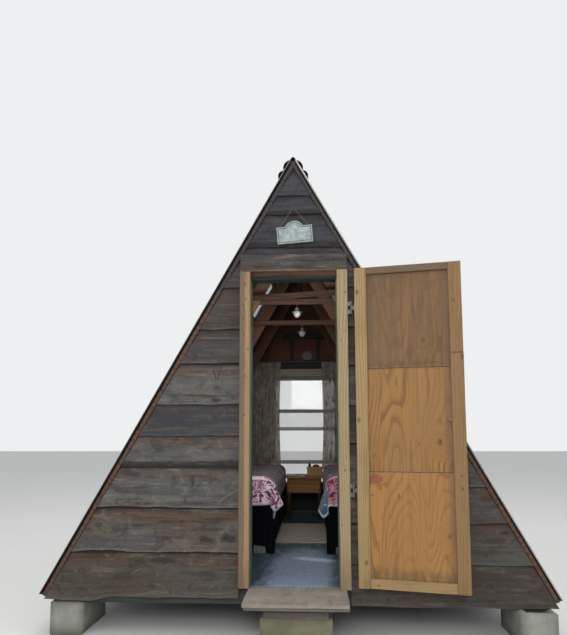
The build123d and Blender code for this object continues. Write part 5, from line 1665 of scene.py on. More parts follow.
def panel_marks(looks, tint, x, z):
    """Greyed upper panel, a reddish blot and specks at the lower one, mildew at its foot and side, with
    painted shadow along the side and under the top rail.
    """
    grime_and_shade = looks.streaks(x * 9.0, z * 5.0, 0.0, 5.0, 0.65)
    streak = looks.streaks(x * 26.0, z * 2.0, 0.0, 4.0, 0.6)
    upper = z.between(1.560, 1.600)
    stray = (grime_and_shade - 0.5) * 0.03
    tint = looks.layers(
        tint,
        (z.between(0.985, 0.976) * 0.12, srgb(186, 128, 68)),
        (z.between(0.976, 0.985) * z.between(1.58, 1.57) * 0.14, srgb(96, 72, 40)),
        (upper * (0.48 + streak.between(0.3, 0.7) * 0.32), srgb(84, 65, 42)),
        (upper * x.between(0.66, 0.44) * grime_and_shade.between(0.30, 0.62) * 0.62, srgb(84, 70, 54)),
        (upper * grime_and_shade.between(0.52, 0.66) * streak.between(0.35, 0.6) * 0.5, srgb(76, 60, 42)),
        (z.between(1.64, 1.59) * upper * grime_and_shade.between(0.40, 0.6) * 0.6, srgb(62, 46, 32)),
        # Darker towards the top rail: stain, and the rail's painted shadow on the sunken panel.
        (z.between(2.02, 2.15) * grime_and_shade.between(0.35, 0.6) * 0.6, srgb(92, 70, 50)),
    )
    # Dark band by the far stile: mildew, and the stile's painted shadow on the sunken panel.
    side = (x + z * 0.012 + (streak - 0.5) * 0.012).between(0.868, 0.898)
    tint = looks.mix(side * (0.25 + grime_and_shade * 0.5), tint, srgb(96, 72, 56))
    foot = (z + (grime_and_shade - 0.5) * 0.10).between(0.455, 0.395)
    tint = looks.mix(foot * streak.between(0.3, 0.6) * 0.8, tint, srgb(92, 74, 46))
    seam = (z + (grime_and_shade - 0.5) * 0.04).between(1.0, 0.975) * z.between(0.965, 0.972)
    tint = looks.mix(seam * 0.35, tint, srgb(112, 82, 54))
    blot = looks.apart((0.352, 0.0, 0.928), x * 0.75 + stray, 0.0, z + stray)
    tint = looks.mix(blot.between(0.036, 0.022) * 0.75, tint, srgb(124, 58, 50))
    drops = looks.apart((0.471, 0.0, 0.862), x, 0.0, z).between(0.045, 0.02)
    spots = looks.cells(looks.vector(x * 60.0, z * 60.0, 0.0)).between(0.42, 0.30)
    tint = looks.mix(drops * spots * 0.9, tint, srgb(96, 30, 34))
    slit = looks.apart((1.449, 0.0, 0.586), x * 2.4, 0.0, z * 0.7).between(0.014, 0.007)
    return looks.mix(slit * 0.85, tint, srgb(74, 44, 26))


def far_stile(looks, tint, along, across):
    """The stile away from the hinges, warmer and darker, greyed at its edge; mildew at both feet."""
    patch = looks.streaks(across * 20.0, along * 3.0, 0.0, 4.0, 0.6)
    far = (across + along * 0.02).between(0.84, 0.88)
    return looks.layers(
        tint,
        (far * 0.62, srgb(112, 78, 44)),
        (far * patch.between(0.5, 0.7) * 0.5, srgb(92, 76, 58)),
        ((1 - far) * patch.between(0.55, 0.72) * 0.35, srgb(116, 112, 78)),
        (along.between(0.44, 0.33) * patch.between(0.35, 0.6) * 0.5, srgb(96, 82, 56)),
    )


def top_rail_grime(looks, tint, along, across):
    """The greyed top rail and the stained foot rail."""
    patch = looks.streaks(along * 6.0, across * 30.0, 0.0, 5.0, 0.65)
    high = across.between(1.2, 1.3)
    return looks.layers(
        tint,
        (high * (0.62 + patch * 0.38), srgb(82, 68, 51)),
        ((1 - high) * patch.between(0.5, 0.7) * 0.5, srgb(112, 84, 50)),
    )


class CABIN_OT_door(bpy.types.Operator):
    """Makes the door's stiles, rails, plywood and outer boards"""

    bl_idname = "cabin.door"
    bl_label = "Door"

    def execute(self, context):
        tints = context.scene.cabin_colours
        frame_tints = (tints.frame_light, tints.frame_dark)
        knots = (
            (2.042, 0.385, 0.009), (1.273, 0.385, 0.009), (0.458, 0.414, 0.010), (1.960, 0.930, 0.006),
            (1.632, 0.968, 0.011), (0.958, 0.943, 0.005), (0.887, 0.945, 0.006),
        )
        stiles = construction_lumber("stile_wood", *frame_tints, "z", knots, 0.5, (far_stile,))
        knots = ((0.481, 0.335, 0.005), (0.60, 2.17, 0.004))
        rails = construction_lumber("rail_wood", *frame_tints, "x", knots, 0.6, (top_rail_grime,))
        turn = Matrix.Rotation(DOOR_OPEN, 3, "Z")
        wide, deep = turn @ X, turn @ Y
        left, right, low, top = -0.291, POST_OUTER_X, 0.314, 2.191
        face = FRONT - 0.081
        thick, stile, hinge_stile = 0.019, 0.0735, 0.0700
        rng = random.Random(8)
        uprights, rungs = Shape(), Shape()

        def upright(x, width, z0, z1):
            middle = opened(Vector((x, face - thick / 2, 0)))
            plank(
                uprights, middle + Z * z0, middle + Z * z1, wide, deep, width, thick, rng,
                ease=0.003, uneven=0.0007, ragged=0.0012, step=0.05,
            )

        def across(shape, x0, x1, y, z, height, depth, **more):
            start, end = opened(Vector((x0, y, z))), opened(Vector((x1, y, z)))
            plank(shape, start, end, Z, deep, height, depth, rng, **more)

        def rung(z0, z1):
            x0, x1, y = left + stile + 0.002, right - hinge_stile - 0.0012, face - thick / 2
            across(rungs, x0, x1, y, (z0 + z1) / 2, z1 - z0, thick, ease=0.003, uneven=0.0007, step=0.05)

        upright(right - hinge_stile / 2, hinge_stile, low, top)
        upright(left + stile / 2 + 0.0012, stile, 1.6575, top)
        upright(left + stile / 2 + 0.0007, stile, low, 1.6555)
        rung(top - 0.043, top - 0.0005)
        rung(low + 0.0005, low + 0.056)
        uprights.make("door_stiles", stiles, "red_brown_lumber", "door", ("door_frame",))
        rungs.make("door_rails", rails, "red_brown_lumber", "door")
        knots = (
            (1.737, 0.759, 0.013), (2.141, 0.793, 0.014), (1.146, 0.836, 0.014), (1.208, 0.872, 0.005),
            (1.064, 0.474, 0.006), (0.62, 0.873, 0.012), (1.134, 0.721, 0.005), (0.938, 0.511, 0.005),
        )
        ply = rotary_ply("door_ply", tints.ply_light, tints.ply_dark, knots, (panel_marks,))
        panels = Shape()
        middle = opened(Vector(((left + right) / 2, face - thick - 0.003, 0)))
        for number, (z0, z1) in enumerate(((low, 0.9715), (0.9745, 1.5765), (1.5795, top))):
            add_panel(panels, middle, wide, deep, right - left - 0.002, 0.006, z0, z1, number * 0.37 + 0.11)
        panels.make("door_plywood", ply, "plywood", "door", ("door_panels",), 30)
        outer = weathered(
            "door_board_wood", tints.siding_brown, tints.siding_grey, tints.siding_blue, tints.bark
        )
        boards = Shape()
        tall = (top - low) / 9
        for i in range(9):
            across(
                boards, left + 0.001, right - 0.001, face - thick - 0.006 - 0.007, low + tall * (i + 0.5),
                tall - 0.004, 0.0136, ragged=0.003, uneven=0.0012, step=0.04, tone=rng.random(),
            )
        boards.make("door_outer_boards", outer, "weathered_board", "door", ("door_boards",))
        return {"FINISHED"}


def add_panel(shape, middle, wide, deep, width, thick, z0, z1, board):
    """Adds a thin upright panel with eased edges, standing at middle from z0 to z1."""
    w, t, ease, end = width / 2, thick / 2, 0.0012, 0.0015
    rows = [z0, z0 + end] + [z0 + (z1 - z0) * k / 6 for k in range(1, 6)] + [z1 - end, z1]
    outline = (
        (-w, -t + ease), (-w + ease, -t), (w - ease, -t), (w, -t + ease),
        (w, t - ease), (w - ease, t), (-w + ease, t), (-w, t - ease),
    )
    rings = []
    for z in rows:
        inset = ease if z in (z0, z1) else 0.0
        rings.append([
            middle + Z * z + wide * a + deep * max(-t + inset, min(t - inset, b)) for a, b in outline
        ])
    shape.loft(rings, board=board)


# Soft goods


BED_LOW, BED_FOOT, BED_HEAD, BED_OUTER = 0.358, -0.458, 1.442, 1.0052
BED_INNER = {-1: 0.2002, 1: 0.2252}
BED_TOP = 0.850
ROUNDING = 0.075


def rounded_drop(over, radius):
    """How far out and down a cloth goes, over being its length past the start of a rounded edge."""
    arc = radius * math.pi / 2
    if over <= 0:
        return over, 0.0
    if over < arc:
        a = over / radius
        return radius * math.sin(a), radius * (1 - math.cos(a))
    return radius, radius + over - arc


def draped(a, b, radius, waves):
    """Place of a cloth's point that is a past one edge and b past the other, on a rounded corner.

    It gives the distances past each edge's start and the drop; waves is the size of the loose folds.
    """
    if a <= 0 or b <= 0:
        out_a, down_a = rounded_drop(a, radius)
        out_b, down_b = rounded_drop(b, radius)
        return out_a, out_b, down_a + down_b
    length = math.hypot(a, b)
    turn = math.atan2(b, a)
    out, down = rounded_drop(length, radius)
    loose = smooth(radius, radius * 4, length) * waves * (0.5 - 0.5 * math.cos(turn * 4))
    out += loose * min(1.0, length * 3)
    return out * math.cos(turn), out * math.sin(turn), down


def grid(name, columns, rows, place, flat, flip=False, v0=0.0):
    """A grid of faces; place gives each point, and flat is the size in metres that its UV map spans."""
    wide = columns + 1
    faces = []
    for j in range(rows):
        for i in range(columns):
            a = j * wide + i
            face = (a, a + 1, a + 1 + wide, a + wide)
            faces.append(face[::-1] if flip else face)
    mesh = bpy.data.meshes.new(name)
    mesh.from_pydata([place(i, j) for j in range(rows + 1) for i in range(wide)], [], faces)
    mesh.attributes.new("UVMap", "FLOAT2", "CORNER")
    layer = mesh.uv_layers["UVMap"]
    for loop in mesh.loops:
        j, i = divmod(loop.vertex_index, wide)
        layer.data[loop.index].uv = (flat[0] * i / columns, v0 + flat[1] * j / rows)
    return mesh


class Drapery:
    """A rectangular cloth over a bed, as a grid with UV in metres."""

    def __init__(self, sign, top, low, head, lift, step, radius=ROUNDING):
        self.sign, self.radius, self.top = sign, radius, top
        inner, outer = BED_INNER[sign] - lift, BED_OUTER - 0.012
        self.flat_edge = inner + radius
        self.foot_edge = BED_FOOT - lift + radius
        self.drop = top - low - radius + radius * math.pi / 2
        self.width = outer - self.flat_edge + self.drop
        self.length = head - self.foot_edge + self.drop
        self.columns = int(self.width / step)
        self.rows = int(self.length / step)

    def measures(self, i, j):
        """Distances of a grid point from the hanging hem and from the foot, in metres."""
        return self.width * i / self.columns, self.length * j / self.rows

    def point(self, u, v, waves):
        """Where the cloth's point lies; u runs from the hanging hem to the wall, v from foot to head."""
        out_a, out_b, down = draped(self.drop - u, self.drop - v, self.radius, waves)
        x = self.sign * (self.flat_edge - out_a)
        return Vector((x, self.foot_edge - out_b, self.top - down))

    def mesh(self, name, place):
        """The cloth as a mesh; place gives each point from its u and v in metres."""
        flat = (self.width, self.length)
        mesh = grid(
            name, self.columns, self.rows, lambda i, j: place(*self.measures(i, j)), flat, self.sign > 0
        )
        if mesh.polygons[len(mesh.polygons) - 1].normal.z < 0:
            mesh.flip_normals()
        return mesh


def cloth_piece(name, mesh, material, slot, node, thick, levels=1):
    """Finishes a sheet of cloth: smooth, with its own thickness."""
    mesh.polygons.foreach_set("use_smooth", [True] * len(mesh.polygons))
    piece = finish_piece(name, mesh, material, slot, replaces=(node,))
    if levels:
        soft = piece.modifiers.new("soft", "SUBSURF")
        soft.levels = soft.render_levels = levels
    shell = piece.modifiers.new("thickness", "SOLIDIFY")
    shell.thickness = thick
    shell.offset = -1.0
    return piece


def fall(cloth, collider, pinned):
    """Lets a cloth's mesh fall onto a collider by simulation, and gives its points."""
    scene = bpy.context.scene
    hanging = bpy.data.objects.new("falling_cloth", cloth)
    block = bpy.data.objects.new("cloth_rest", collider)
    scene.collection.objects.link(hanging)
    scene.collection.objects.link(block)
    hanging.vertex_groups.new(name="held").add(pinned, 1.0, "REPLACE")
    block.modifiers.new("collision", "COLLISION")
    block.collision.thickness_outer = 0.004
    block.collision.cloth_friction = 20
    sim = hanging.modifiers.new("cloth", "CLOTH")
    for key, value in {
        "quality": 8, "mass": 0.25, "tension_stiffness": 25, "compression_stiffness": 12,
        "shear_stiffness": 6, "bending_stiffness": 0.7, "air_damping": 1.0, "vertex_group_mass": "held",
    }.items():
        setattr(sim.settings, key, value)
    sim.collision_settings.distance_min = 0.005
    sim.collision_settings.collision_quality = 3
    last = 50
    sim.point_cache.frame_start, sim.point_cache.frame_end = 1, last
    for moment in range(1, last + 1):
        scene.frame_set(moment)
    settled = hanging.evaluated_get(bpy.context.evaluated_depsgraph_get())
    points = [v.co.copy() for v in settled.data.vertices]
    bpy.data.objects.remove(hanging)
    bpy.data.objects.remove(block)
    scene.frame_set(1)
    return points


def rounded_block(low, high, radius, segments=5):
    """A box with rounded edges, as a mesh."""
    work = bmesh.new()
    bmesh.ops.create_cube(work, size=1.0)
    for v in work.verts:
        v.co = Vector((low[k] if v.co[k] < 0 else high[k]) for k in range(3))
    bmesh.ops.bevel(work, geom=work.edges[:], offset=radius, segments=segments, profile=0.5, affect="EDGES")
    mesh = bpy.data.meshes.new("rounded_block")
    work.to_mesh(mesh)
    work.free()
    return mesh


def quilt_cloth(name, bands, panels, border):
    """Common patchwork: bands across the bed and panels at its corner, quilted, with a plain border.

    bands are (v, colour); panels are (u0, u1, v0, v1, colour, share of mottling).
    """
    looks = Looks(name)
    uv = looks.uv()
    stray = (looks.cloud(uv, 9.0, 3.0, 0.6) - 0.5) * 0.02
    u, v = looks.part(uv, 0) + stray, looks.part(uv, 1) + stray
    tint = looks.patches(v / 1.8, *((at / 1.8, value) for at, value in bands))
    mottle = looks.patches(
        looks.cloud(looks.vector(u, v, 0.0), 15.0, 1.8, 0.55, 1.4),
        (0.0, srgb(14, 10, 16)), (0.42, srgb(120, 24, 66)), (0.45, srgb(222, 150, 184)),
        (0.49, srgb(255, 244, 250)), (0.56, srgb(204, 120, 160)), (0.59, srgb(16, 12, 18)),
    )
    leaf = looks.cloud(uv, 74.0, 4.0, 0.75, 1.2)
    patch = looks.cells(looks.vector(u * 15.0, v * 15.0, 0.0), 1.0, 1)
    far = v.between(0.33, 0.35)
    tint = looks.layers(
        tint,
        (looks.part(patch, 0).between(0.60, 0.63) * 0.5 * far, srgb(64, 56, 68)),
        (looks.part(patch, 1).between(0.70, 0.73) * 0.5 * far, srgb(118, 106, 116)),
        (leaf.between(0.50, 0.57) * 0.5 * far, srgb(44, 34, 46)),
        (leaf.between(0.42, 0.36) * 0.35 * far, srgb(156, 140, 148)),
    )
    for u0, u1, v0, v1, value, share in panels:
        inner = u.between(u0, u0 + 0.004) * u.between(u1, u1 - 0.004)
        inner = inner * v.between(v0, v0 + 0.004) * v.between(v1, v1 - 0.004)
        tint = looks.mix(inner, tint, looks.mix(share, value, mottle) if share else value)
    hem = u.math("MINIMUM", v)
    tint = looks.mix(hem.between(0.014, 0.012), tint, border)
    rows = [abs((at / 0.095).math("FRACT") - 0.5).between(0.44, 0.5) for at in (u, v)]
    stitch = rows[0].math("MAXIMUM", rows[1])
    puff = looks.cloud(uv, 30.0, 3.0, 0.6)
    weave = (u * 2600.0).math("SINE") * (v * 2600.0).math("SINE")
    tint = looks.mix(stitch * 0.25, tint, srgb(40, 30, 36))
    normal = looks.bump(puff * 0.7 - stitch * 1.2 + weave * 0.06, 0.6, 0.005)
    return looks.painted(tint, 0.88, normal, Sheen_Weight=0.15)


def sheer(name, tint):
    """Thin curtain cloth with a faint leaf pattern, letting the window through."""
    looks = Looks(name)
    uv = looks.uv()
    u, v = looks.part(uv, 0), looks.part(uv, 1)
    leaf = looks.cells(looks.vector(u * 13.0, v * 8.0, 0.0)).between(0.36, 0.24)
    twig = looks.cloud(uv, 22.0, 4.0, 0.6, 1.5).between(0.56, 0.62)
    bloom = looks.cloud(uv, 9.0, 4.0, 0.6, 0.8)
    pattern = leaf.math("MAXIMUM", twig * 0.9)
    base = looks.layers(
        toned(tint, 0.74, 0.66, 0.58), (bloom.between(0.42, 0.62), tint), (pattern * 0.72, toned(tint, 0.26))
    )
    threads = (u * 5200.0).math("SINE") * (v * 5200.0).math("SINE")
    hem = v.between(0.05, 0.047) + v.between(1.155, 1.16)
    normal = looks.bump(threads * 0.2 + pattern, 0.3, 0.0006)
    solid = 0.62 + pattern * 0.22 + hem * 0.2
    return looks.painted(base, 0.9, normal, Sheen_Weight=0.2, Alpha=solid)


def fringe_tree():
    """Threads along the rug's ends: cones on a line, bent and shifted by fixed seeds."""
    g = Graph("fringe_rows", {"Width": 0.575, "Length": 0.03, "Threads": 60})
    half = g.math("MULTIPLY", g.given["Width"], 0.5)
    start = g.node("ShaderNodeCombineXYZ", {"X": g.math("MULTIPLY", half, -1.0)})
    end = g.node("ShaderNodeCombineXYZ", {"X": half})
    line = g.node("GeometryNodeMeshLine", {
        "Count": g.given["Threads"], "Start Location": start, "Offset": end,
    }, mode="END_POINTS")
    stem = g.node("GeometryNodeMeshCone", {
        "Vertices": 5, "Side Segments": 3, "Radius Top": 0.0014, "Radius Bottom": 0.0022,
        "Depth": g.given["Length"],
    })
    turn = g.random((-1.85, -0.20, -0.30), (-1.62, 0.20, 0.30), 5)
    placed = g.node("GeometryNodeInstanceOnPoints", {"Points": line, "Instance": stem, "Rotation": turn})
    jitter = g.random((-0.002, -0.005, 0.0), (0.002, 0.003, 0.001), 9)
    return g.finish(g.node("GeometryNodeTranslateInstances", {"Instances": placed, "Translation": jitter}))


# Furniture


def shaded_legs(looks, tint, along, across):
    """Painted shade: the legs under the table's apron darker."""
    return looks.mix(across.between(0.575, 0.569) * 0.75, tint, srgb(24, 17, 11))


def round_rings(middle, profile, sides):
    """Rings for a turned shape from its (radius, height) profile."""
    turns = [2 * math.pi * k / sides for k in range(sides)]
    return [[middle + Vector((r * math.cos(t), r * math.sin(t), z)) for t in turns] for r, z in profile]


class CABIN_OT_furniture(bpy.types.Operator):
    """Makes the beds, the table and what stands on it"""

    bl_idname = "cabin.furniture"
    bl_label = "Furniture"

    def execute(self, context):
        tints = context.scene.cabin_colours
        grey = wood("leg_wood", srgb(132, 132, 130), srgb(92, 90, 86), "z", cracks=0.3)
        brown = wood("bed_base_wood", tints.lumber_light, tints.lumber_dark, "y", cracks=0.2)
        apron = wood(
            "table_wood", srgb(152, 110, 58), srgb(98, 64, 30), "x", cracks=0.2, extras=(shaded_legs,)
        )
        top = wood("table_top_wood", srgb(150, 120, 84), srgb(104, 76, 50), "x", cracks=0.3)
        for node, name, finish, slot, width in (
            ("bed_legs", "bed_leg_lumber", grey, "pale_lumber", 0.003),
            ("bed_bases", "bed_base_lumber", brown, "lumber", 0.003),
            ("table_frame", "table_frame_lumber", apron, "green_lumber", 0.002),
            ("table_top", "table_top_board", top, "pale_lumber", 0.003),
        ):
            softened(node, name, finish, slot, width)
        low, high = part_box("table_box")
        self.box(low, high)
        self.bundle(low, high)
        self.jar(low, high)
        self.papers(low)
        return {"FINISHED"}

    def box(self, low, high):
        """A tan box with a lid that stands a little proud."""
        lid = high.z - 0.024
        lip = 0.0035
        rings = []
        for z, inset in (
            (low.z, lip + 0.002), (low.z + 0.002, lip), (lid, lip), (lid + 0.0002, 0.001),
            (lid + 0.0015, 0.0), (high.z - 0.0015, 0.0), (high.z, 0.0015),
        ):
            x0, y0, x1, y1 = low.x + inset, low.y + inset, high.x - inset, high.y - inset
            rings.append([Vector((x0, y0, z)), Vector((x1, y0, z)), Vector((x1, y1, z)), Vector((x0, y1, z))])
        shape = Shape()
        shape.loft(rings)
        card = mottled(
            "box_card", srgb(142, 112, 72), srgb(168, 136, 92), 0.8, (1.0, 4.0, 0.6), 0.0, (30, 30, 300),
            (0.3, 0.0006),
        )
        shape.make("lidded_box", card, "tan_box", replaces=("table_box",))

    def bundle(self, low, high):
        """A folded red cloth on the box."""
        middle = Vector(((low.x + high.x) / 2 + 0.012, (low.y + high.y) / 2, high.z + 0.0005))
        rings = []
        for i in range(7):
            a = math.pi / 2 * i / 6
            r = 0.030 * math.cos(a) if i < 6 else 0.0015
            ring = []
            for t in (2 * math.pi * k / 18 for k in range(18)):
                x = r * math.cos(t) * (1.25 + 0.16 * math.sin(3 * t))
                y = r * math.sin(t) * (1 + 0.18 * math.cos(4 * t))
                ring.append(middle + Vector((x, y, 0.026 * math.sin(a))))
            rings.append(ring)
        shape = Shape()
        shape.loft(rings)
        shape.make("red_bundle", cloth("red_cloth", srgb(168, 44, 38), 700.0), "tan_box")

    def jar(self, low, high):
        """A dark jar with a narrow neck and a cap, on the box."""
        foot = Vector((low.x + 0.030, (low.y + high.y) / 2 - 0.02, high.z + 0.0005))
        profile = (
            (0.012, 0.0), (0.014, 0.002), (0.014, 0.026), (0.009, 0.031), (0.009, 0.036), (0.0105, 0.0365),
            (0.0105, 0.043), (0.009, 0.044),
        )
        shape = Shape()
        shape.loft(round_rings(foot, profile, 20))
        glass = mottled("dark_glass", srgb(26, 22, 20), srgb(44, 36, 30), 0.25, (60.0, 3.0))
        shape.make("dark_jar", glass, "tan_box")

    def papers(self, low):
        """Four sheets left of the box, the top one curled."""
        looks = Looks("papers")
        place = looks.place()
        lines = (looks.part(place, 1) * 900.0).math("SINE").between(0.6, 0.9)
        blots = looks.cloud(place, 40.0, 4.0)
        ink = looks.mix(lines * blots.between(0.4, 0.6) * 0.5, srgb(206, 202, 192), srgb(112, 106, 100))
        paper = looks.painted(ink, 0.7, looks.bump(blots, 0.2, 0.0005))
        shape = Shape()
        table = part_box("table_top")[1].z
        rng = random.Random(21)
        for i in range(4):
            turn = rng.uniform(-0.4, 0.4)
            x = low.x - 0.125 + rng.uniform(-0.02, 0.02)
            y = 1.24 + rng.uniform(-0.02, 0.03)
            middle = Vector((x, y, table + 0.0006 + i * 0.0016))
            wide = Vector((math.cos(turn), math.sin(turn), 0))
            deep = Vector((-math.sin(turn), math.cos(turn), 0))
            rings = []
            for k in range(7):
                u = (k / 6 - 0.5) * 0.14
                curl = 0.012 * smooth(0.4, 1.0, abs(u) / 0.07) * (i == 3)
                rings.append([
                    middle + wide * u + deep * d + Z * (h + curl)
                    for d, h in ((-0.095, 0), (0.095, 0), (0.095, 0.0012), (-0.095, 0.0012))
                ])
            shape.loft(rings, board=i * 0.2)
        shape.make("papers", paper, "pale_lumber")


GREY, DARK, WINE = srgb(132, 122, 130), srgb(44, 34, 48), srgb(132, 22, 62)
ROSE, SLATE = srgb(216, 176, 194), srgb(100, 114, 134)
LEFT_BANDS = (
    (0.0, ROSE), (0.20, srgb(255, 236, 246)), (0.315, WINE), (0.39, DARK), (0.415, GREY), (0.50, WINE),
    (0.545, ROSE), (0.56, DARK), (0.66, GREY), (0.76, WINE), (0.82, ROSE), (0.84, DARK), (0.96, GREY),
    (1.08, WINE), (1.16, DARK), (1.28, GREY), (1.40, WINE),
)
LEFT_PANELS = (
    (0.0, 2.0, 0.0, 0.205, ROSE, 0.85), (0.0, 0.26, 0.205, 0.222, srgb(232, 206, 214), 0),
    (0.0, 0.26, 0.222, 0.335, GREY, 0.35), (0.26, 0.34, 0.10, 0.205, srgb(206, 150, 178), 0.4),
    (0.0, 0.07, 0.0, 0.06, srgb(44, 66, 68), 0.25),
)
RIGHT_BANDS = (
    (0.0, ROSE), (0.26, srgb(240, 214, 218)), (0.33, WINE), (0.40, srgb(186, 170, 178)), (0.415, GREY),
    (0.52, DARK), (0.58, srgb(170, 158, 162)), (0.595, GREY), (0.70, WINE), (0.78, DARK), (0.90, GREY),
    (1.02, WINE), (1.10, DARK), (1.24, GREY), (1.38, WINE),
)
RIGHT_PANELS = (
    (0.0, 0.155, 0.0, 0.30, SLATE, 0), (0.155, 0.32, 0.0, 0.235, WINE, 0.3),
    (0.0, 0.075, 0.0, 0.06, srgb(60, 96, 100), 0), (0.155, 0.21, 0.0, 0.07, srgb(186, 128, 96), 0.2),
    (0.0, 0.36, 0.30, 0.335, srgb(246, 104, 110), 0), (0.32, 2.0, 0.0, 0.25, ROSE, 0.75),
)


class CABIN_OT_cloth(bpy.types.Operator):
    """Makes the mattresses, blankets, quilts, curtains and the rug"""

    bl_idname = "cabin.cloth"
    bl_label = "Soft goods"

    def execute(self, context):
        tints = context.scene.cabin_colours
        self.mattresses()
        navy = cloth("navy_cloth", tints.navy, 700.0, 0.5, 0.0, 0.12)
        border = srgb(206, 222, 240)
        for sign, side, bands, panels in (
            (-1, "left", LEFT_BANDS, LEFT_PANELS), (1, "right", RIGHT_BANDS, RIGHT_PANELS),
        ):
            blanket = Drapery(sign, BED_TOP - 0.001, BED_LOW + 0.002, BED_HEAD - 0.004, 0.0095, 0.028)

            def folds(u, v, sign=sign, cover=blanket):
                p = cover.point(u, v, 0.03)
                low = smooth(0.72, 0.40, p.z)
                p.x -= sign * wander(v * 9, 0.0, 3.0) * 0.007 * low * (u < cover.drop)
                p.y -= wander(u * 9, 5.0, 1.0) * 0.007 * low * (v < cover.drop)
                p.z += wander(u * 14, v * 14) * 0.0015 - 0.0015
                return p

            mesh = blanket.mesh(side + "_blanket", folds)
            piece = cloth_piece(side + "_blanket", mesh, navy, "navy_cloth", "blankets", 0.005)
            flat = (blanket.width, blanket.length)
            side + "_mattress"
            mesh, flat = self.quilt(sign)
            finish = quilt_cloth(side + "_patchwork", bands, panels, border)
            piece = cloth_piece(side + "_quilt", mesh, finish, "patchwork", "quilts", 0.008)
            side + "_blanket"
        self.curtains(tints)
        self.rug(tints)
        return {"FINISHED"}

    def mattresses(self):
        """Two foam mattresses with crowned tops and pulled-in sides, under the blankets."""
        looks = Looks("ticking")
        place = looks.place()
        stripe = (looks.part(place, 0) * 320.0).math("SINE").between(0.55, 0.75)
        soft = looks.cloud(place, 30.0, 4.0)
        tint = looks.layers(
            srgb(206, 200, 190), (soft, srgb(184, 178, 168)), (stripe * 0.5, srgb(110, 120, 140))
        )
        ticking = looks.painted(tint, 0.9, looks.bump(soft + stripe * 0.3, 0.3, 0.001))
        for sign, side in ((-1, "left"), (1, "right")):
            x0, x1 = sorted((sign * (BED_INNER[sign] + 0.016), sign * (BED_OUTER - 0.022)))
            low = Vector((x0, BED_FOOT + 0.016, 0.6205))
            high = Vector((x1, BED_HEAD - 0.016, 0.838))
            middle, half = (low + high) / 2, (high - low) / 2
            rings = [
                self.mattress_ring(middle, half, level, shrink)
                for level, shrink in (
                    (-1.0, 0.12), (-0.97, 0.04), (-0.85, 0.008), (-0.5, 0.0), (0.0, 0.004), (0.5, 0.0),
                    (0.82, 0.012), (0.96, 0.05), (1.0, 0.14),
                )
            ]
            crown = [p.copy() for p in rings[-1]]
            for share, rise in ((0.85, 0.004), (0.6, 0.007), (0.3, 0.0085)):
                up = Z * ((1 - share) * half.z + rise * 0.5)
                rings.append([middle + (p - middle) * share + up for p in crown])
            shape = Shape()
            shape.loft(rings)
            piece = shape.make(side + "_mattress", ticking, "mattress", "cabin", ("mattresses",), 60)

    @staticmethod
    def mattress_ring(middle, half, level, shrink):
        """One ring round a mattress, a rounded rectangle; level runs from -1 at the foot to 1 at the top."""
        ring = []
        for k in range(72):
            t = 2 * math.pi * k / 72
            c, d = math.cos(t), math.sin(t)
            squareness = (abs(c) ** 9 + abs(d) ** 9) ** (-1 / 9)
            x, y = c * squareness, d * squareness
            inset = shrink * 0.35
            pull = 0.008 * math.cos(x * y * 1.5) * (1 - abs(level))
            x *= half.x - inset - pull
            y *= half.y - inset - pull
            ring.append(middle + Vector((x, y, level * half.z)))
        return ring

    def quilt(self, sign):
        """A quilt that falls over the bed's rounded edge and corner; gives its mesh and flat size."""
        cover = Drapery(sign, BED_TOP + 0.017, 0.660, 1.122, 0.024, 0.025, ROUNDING + 0.010)
        size = (cover.width, cover.length)

        def flat(u, v):
            x = sign * (cover.flat_edge - (cover.drop - u))
            return Vector((x, cover.foot_edge - (cover.drop - v), BED_TOP + 0.016))

        mesh = cover.mesh("quilt", flat)
        rim = []
        for j in range(cover.rows + 1):
            for i in range(cover.columns + 1):
                at_wall = i >= cover.columns - 1 or j >= cover.rows - 1
                if at_wall and min(cover.measures(i, j)) > cover.drop:
                    rim.append(j * (cover.columns + 1) + i)
        x0, x1 = sorted((sign * (BED_INNER[sign] - 0.013), sign * BED_OUTER))
        block = rounded_block((x0, BED_FOOT - 0.013, 0.36), (x1, BED_HEAD, BED_TOP + 0.002), ROUNDING)
        for vertex, point in zip(mesh.vertices, fall(mesh.copy(), block, rim)):
            vertex.co = point
        return mesh, size

    def curtains(self, tints):
        """Two thin curtains gathered on the rod, their folds opening towards the hem."""
        lace = sheer("curtain_lace", tints.curtain)
        low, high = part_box("curtains")
        y0, height = (low.y + high.y) / 2, high.z - low.z
        columns, rows, fullness = 132, 40, 1.62
        for sign, inner, outer, side in ((-1, 0.249, 0.567, "left"), (1, 0.202, 0.567, "right")):
            span = outer - inner

            def place(i, j, sign=sign, span=span, outer=outer):
                u, w = i / columns, j / rows
                gather = 1.0 - 0.06 * math.sin(math.pi * w) * (1 - u)
                phase = u * 7.5 * 2 * math.pi + wander(u * 3, w * 1.2) * 0.8
                deep = 0.0105 * (0.75 + 0.35 * (1 - w)) * (1 - 0.5 * smooth(0.93, 1.0, w))
                x = outer - span * (1 - u) * gather + 0.006 * math.sin(phase * 2) * (1 - 0.4 * w)
                y = y0 + deep * math.sin(phase) + 0.002 * math.sin(phase * 2.3 + w * 4)
                ripple = 0.003 * math.sin(phase * 1.5) * (1 - w) * (j == 0)
                return sign * x, min(max(y, low.y + 0.001), high.y - 0.001), low.z + height * w + ripple

            width = span * fullness
            mesh = grid(side + "_curtain", columns, rows, place, (width, height), sign < 0)
            piece = cloth_piece(side + "_curtain", mesh, lace, "curtain_cloth", "curtains", 0.0008, 0)
            area = sum(p.area for p in mesh.polygons)
            width = max(width, area / height * 1.02)

    def rug(self, tints):
        """A cream rug, barely waved, with its fringe at both ends."""
        yarn = cloth("rug_yarn", tints.rug, 420.0, 0.62, 0.1)
        low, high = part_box("rug")
        fringe = 0.032
        columns, rows = 24, 40
        flat = (high.x - low.x, high.y - low.y - 2 * fringe)

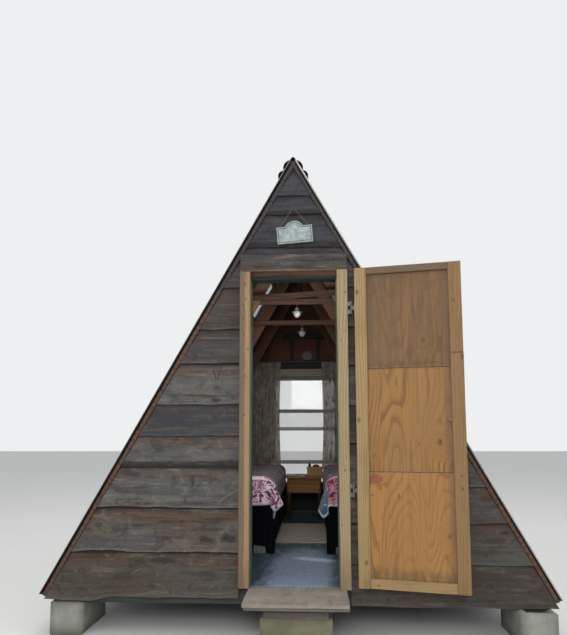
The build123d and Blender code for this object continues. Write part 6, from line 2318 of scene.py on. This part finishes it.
        def place(i, j):
            x = low.x + flat[0] * i / columns
            y = low.y + fringe + flat[1] * j / rows
            rim = min(i, columns - i, j, rows - j)
            lift = abs(wander(x * 5, y * 4)) * 0.0022 + (0.0007 if rim else 0.0)
            return x, y, low.z + 0.0046 + lift

        mesh = grid("woven_rug", columns, rows, place, flat, v0=fringe)
        piece = cloth_piece("woven_rug", mesh, yarn, "rug_cloth", "rug", 0.0042)
        tree = fringe_tree()
        ends = []
        for sign, y in ((-1, low.y + fringe), (1, high.y - fringe)):
            mesh = from_tree(
                tree, "rug_fringe", Width=flat[0] - 0.01, Length=fringe - 0.006, Threads=64, Material=yarn
            )
            for v in mesh.vertices:
                x = v.co.x + (low.x + high.x) / 2
                v.co = Vector((x, y + sign * (v.co.y + fringe / 2), low.z + 0.003 + v.co.z))
            ends.append(mesh)
        finish_piece("rug_fringe", joined("rug_fringe", ends), yarn, "rug_cloth")


class CABIN_PT_panel(bpy.types.Panel):
    """Lists the cabin's makers in the sidebar"""

    bl_idname = "CABIN_PT_panel"
    bl_label = "Cabin"
    bl_space_type = "VIEW_3D"
    bl_region_type = "UI"
    bl_category = "Cabin"

    def draw(self, context):
        for step in STEPS:
            self.layout.operator(step.bl_idname)


STEPS = (
    CABIN_OT_stage,
    CABIN_OT_siding,
    CABIN_OT_roof,
    CABIN_OT_frame,
    CABIN_OT_doorway,
    CABIN_OT_door,
    CABIN_OT_furniture,
    CABIN_OT_cloth,
)
CLASSES = (CabinSizes, CabinColours, *STEPS, CABIN_PT_panel)


def register():
    for item in CLASSES:
        bpy.utils.register_class(item)
    bpy.types.Scene.cabin_sizes = bpy.props.PointerProperty(type=CabinSizes)
    bpy.types.Scene.cabin_colours = bpy.props.PointerProperty(type=CabinColours)


def unregister():
    del bpy.types.Scene.cabin_colours
    del bpy.types.Scene.cabin_sizes
    for item in reversed(CLASSES):
        bpy.utils.unregister_class(item)


def main():
    """Makes every piece in order."""
    register()
    for step in STEPS:
        group, name = step.bl_idname.split(".")
        getattr(getattr(bpy.ops, group), name)()


if __name__ == "__main__":
    main()
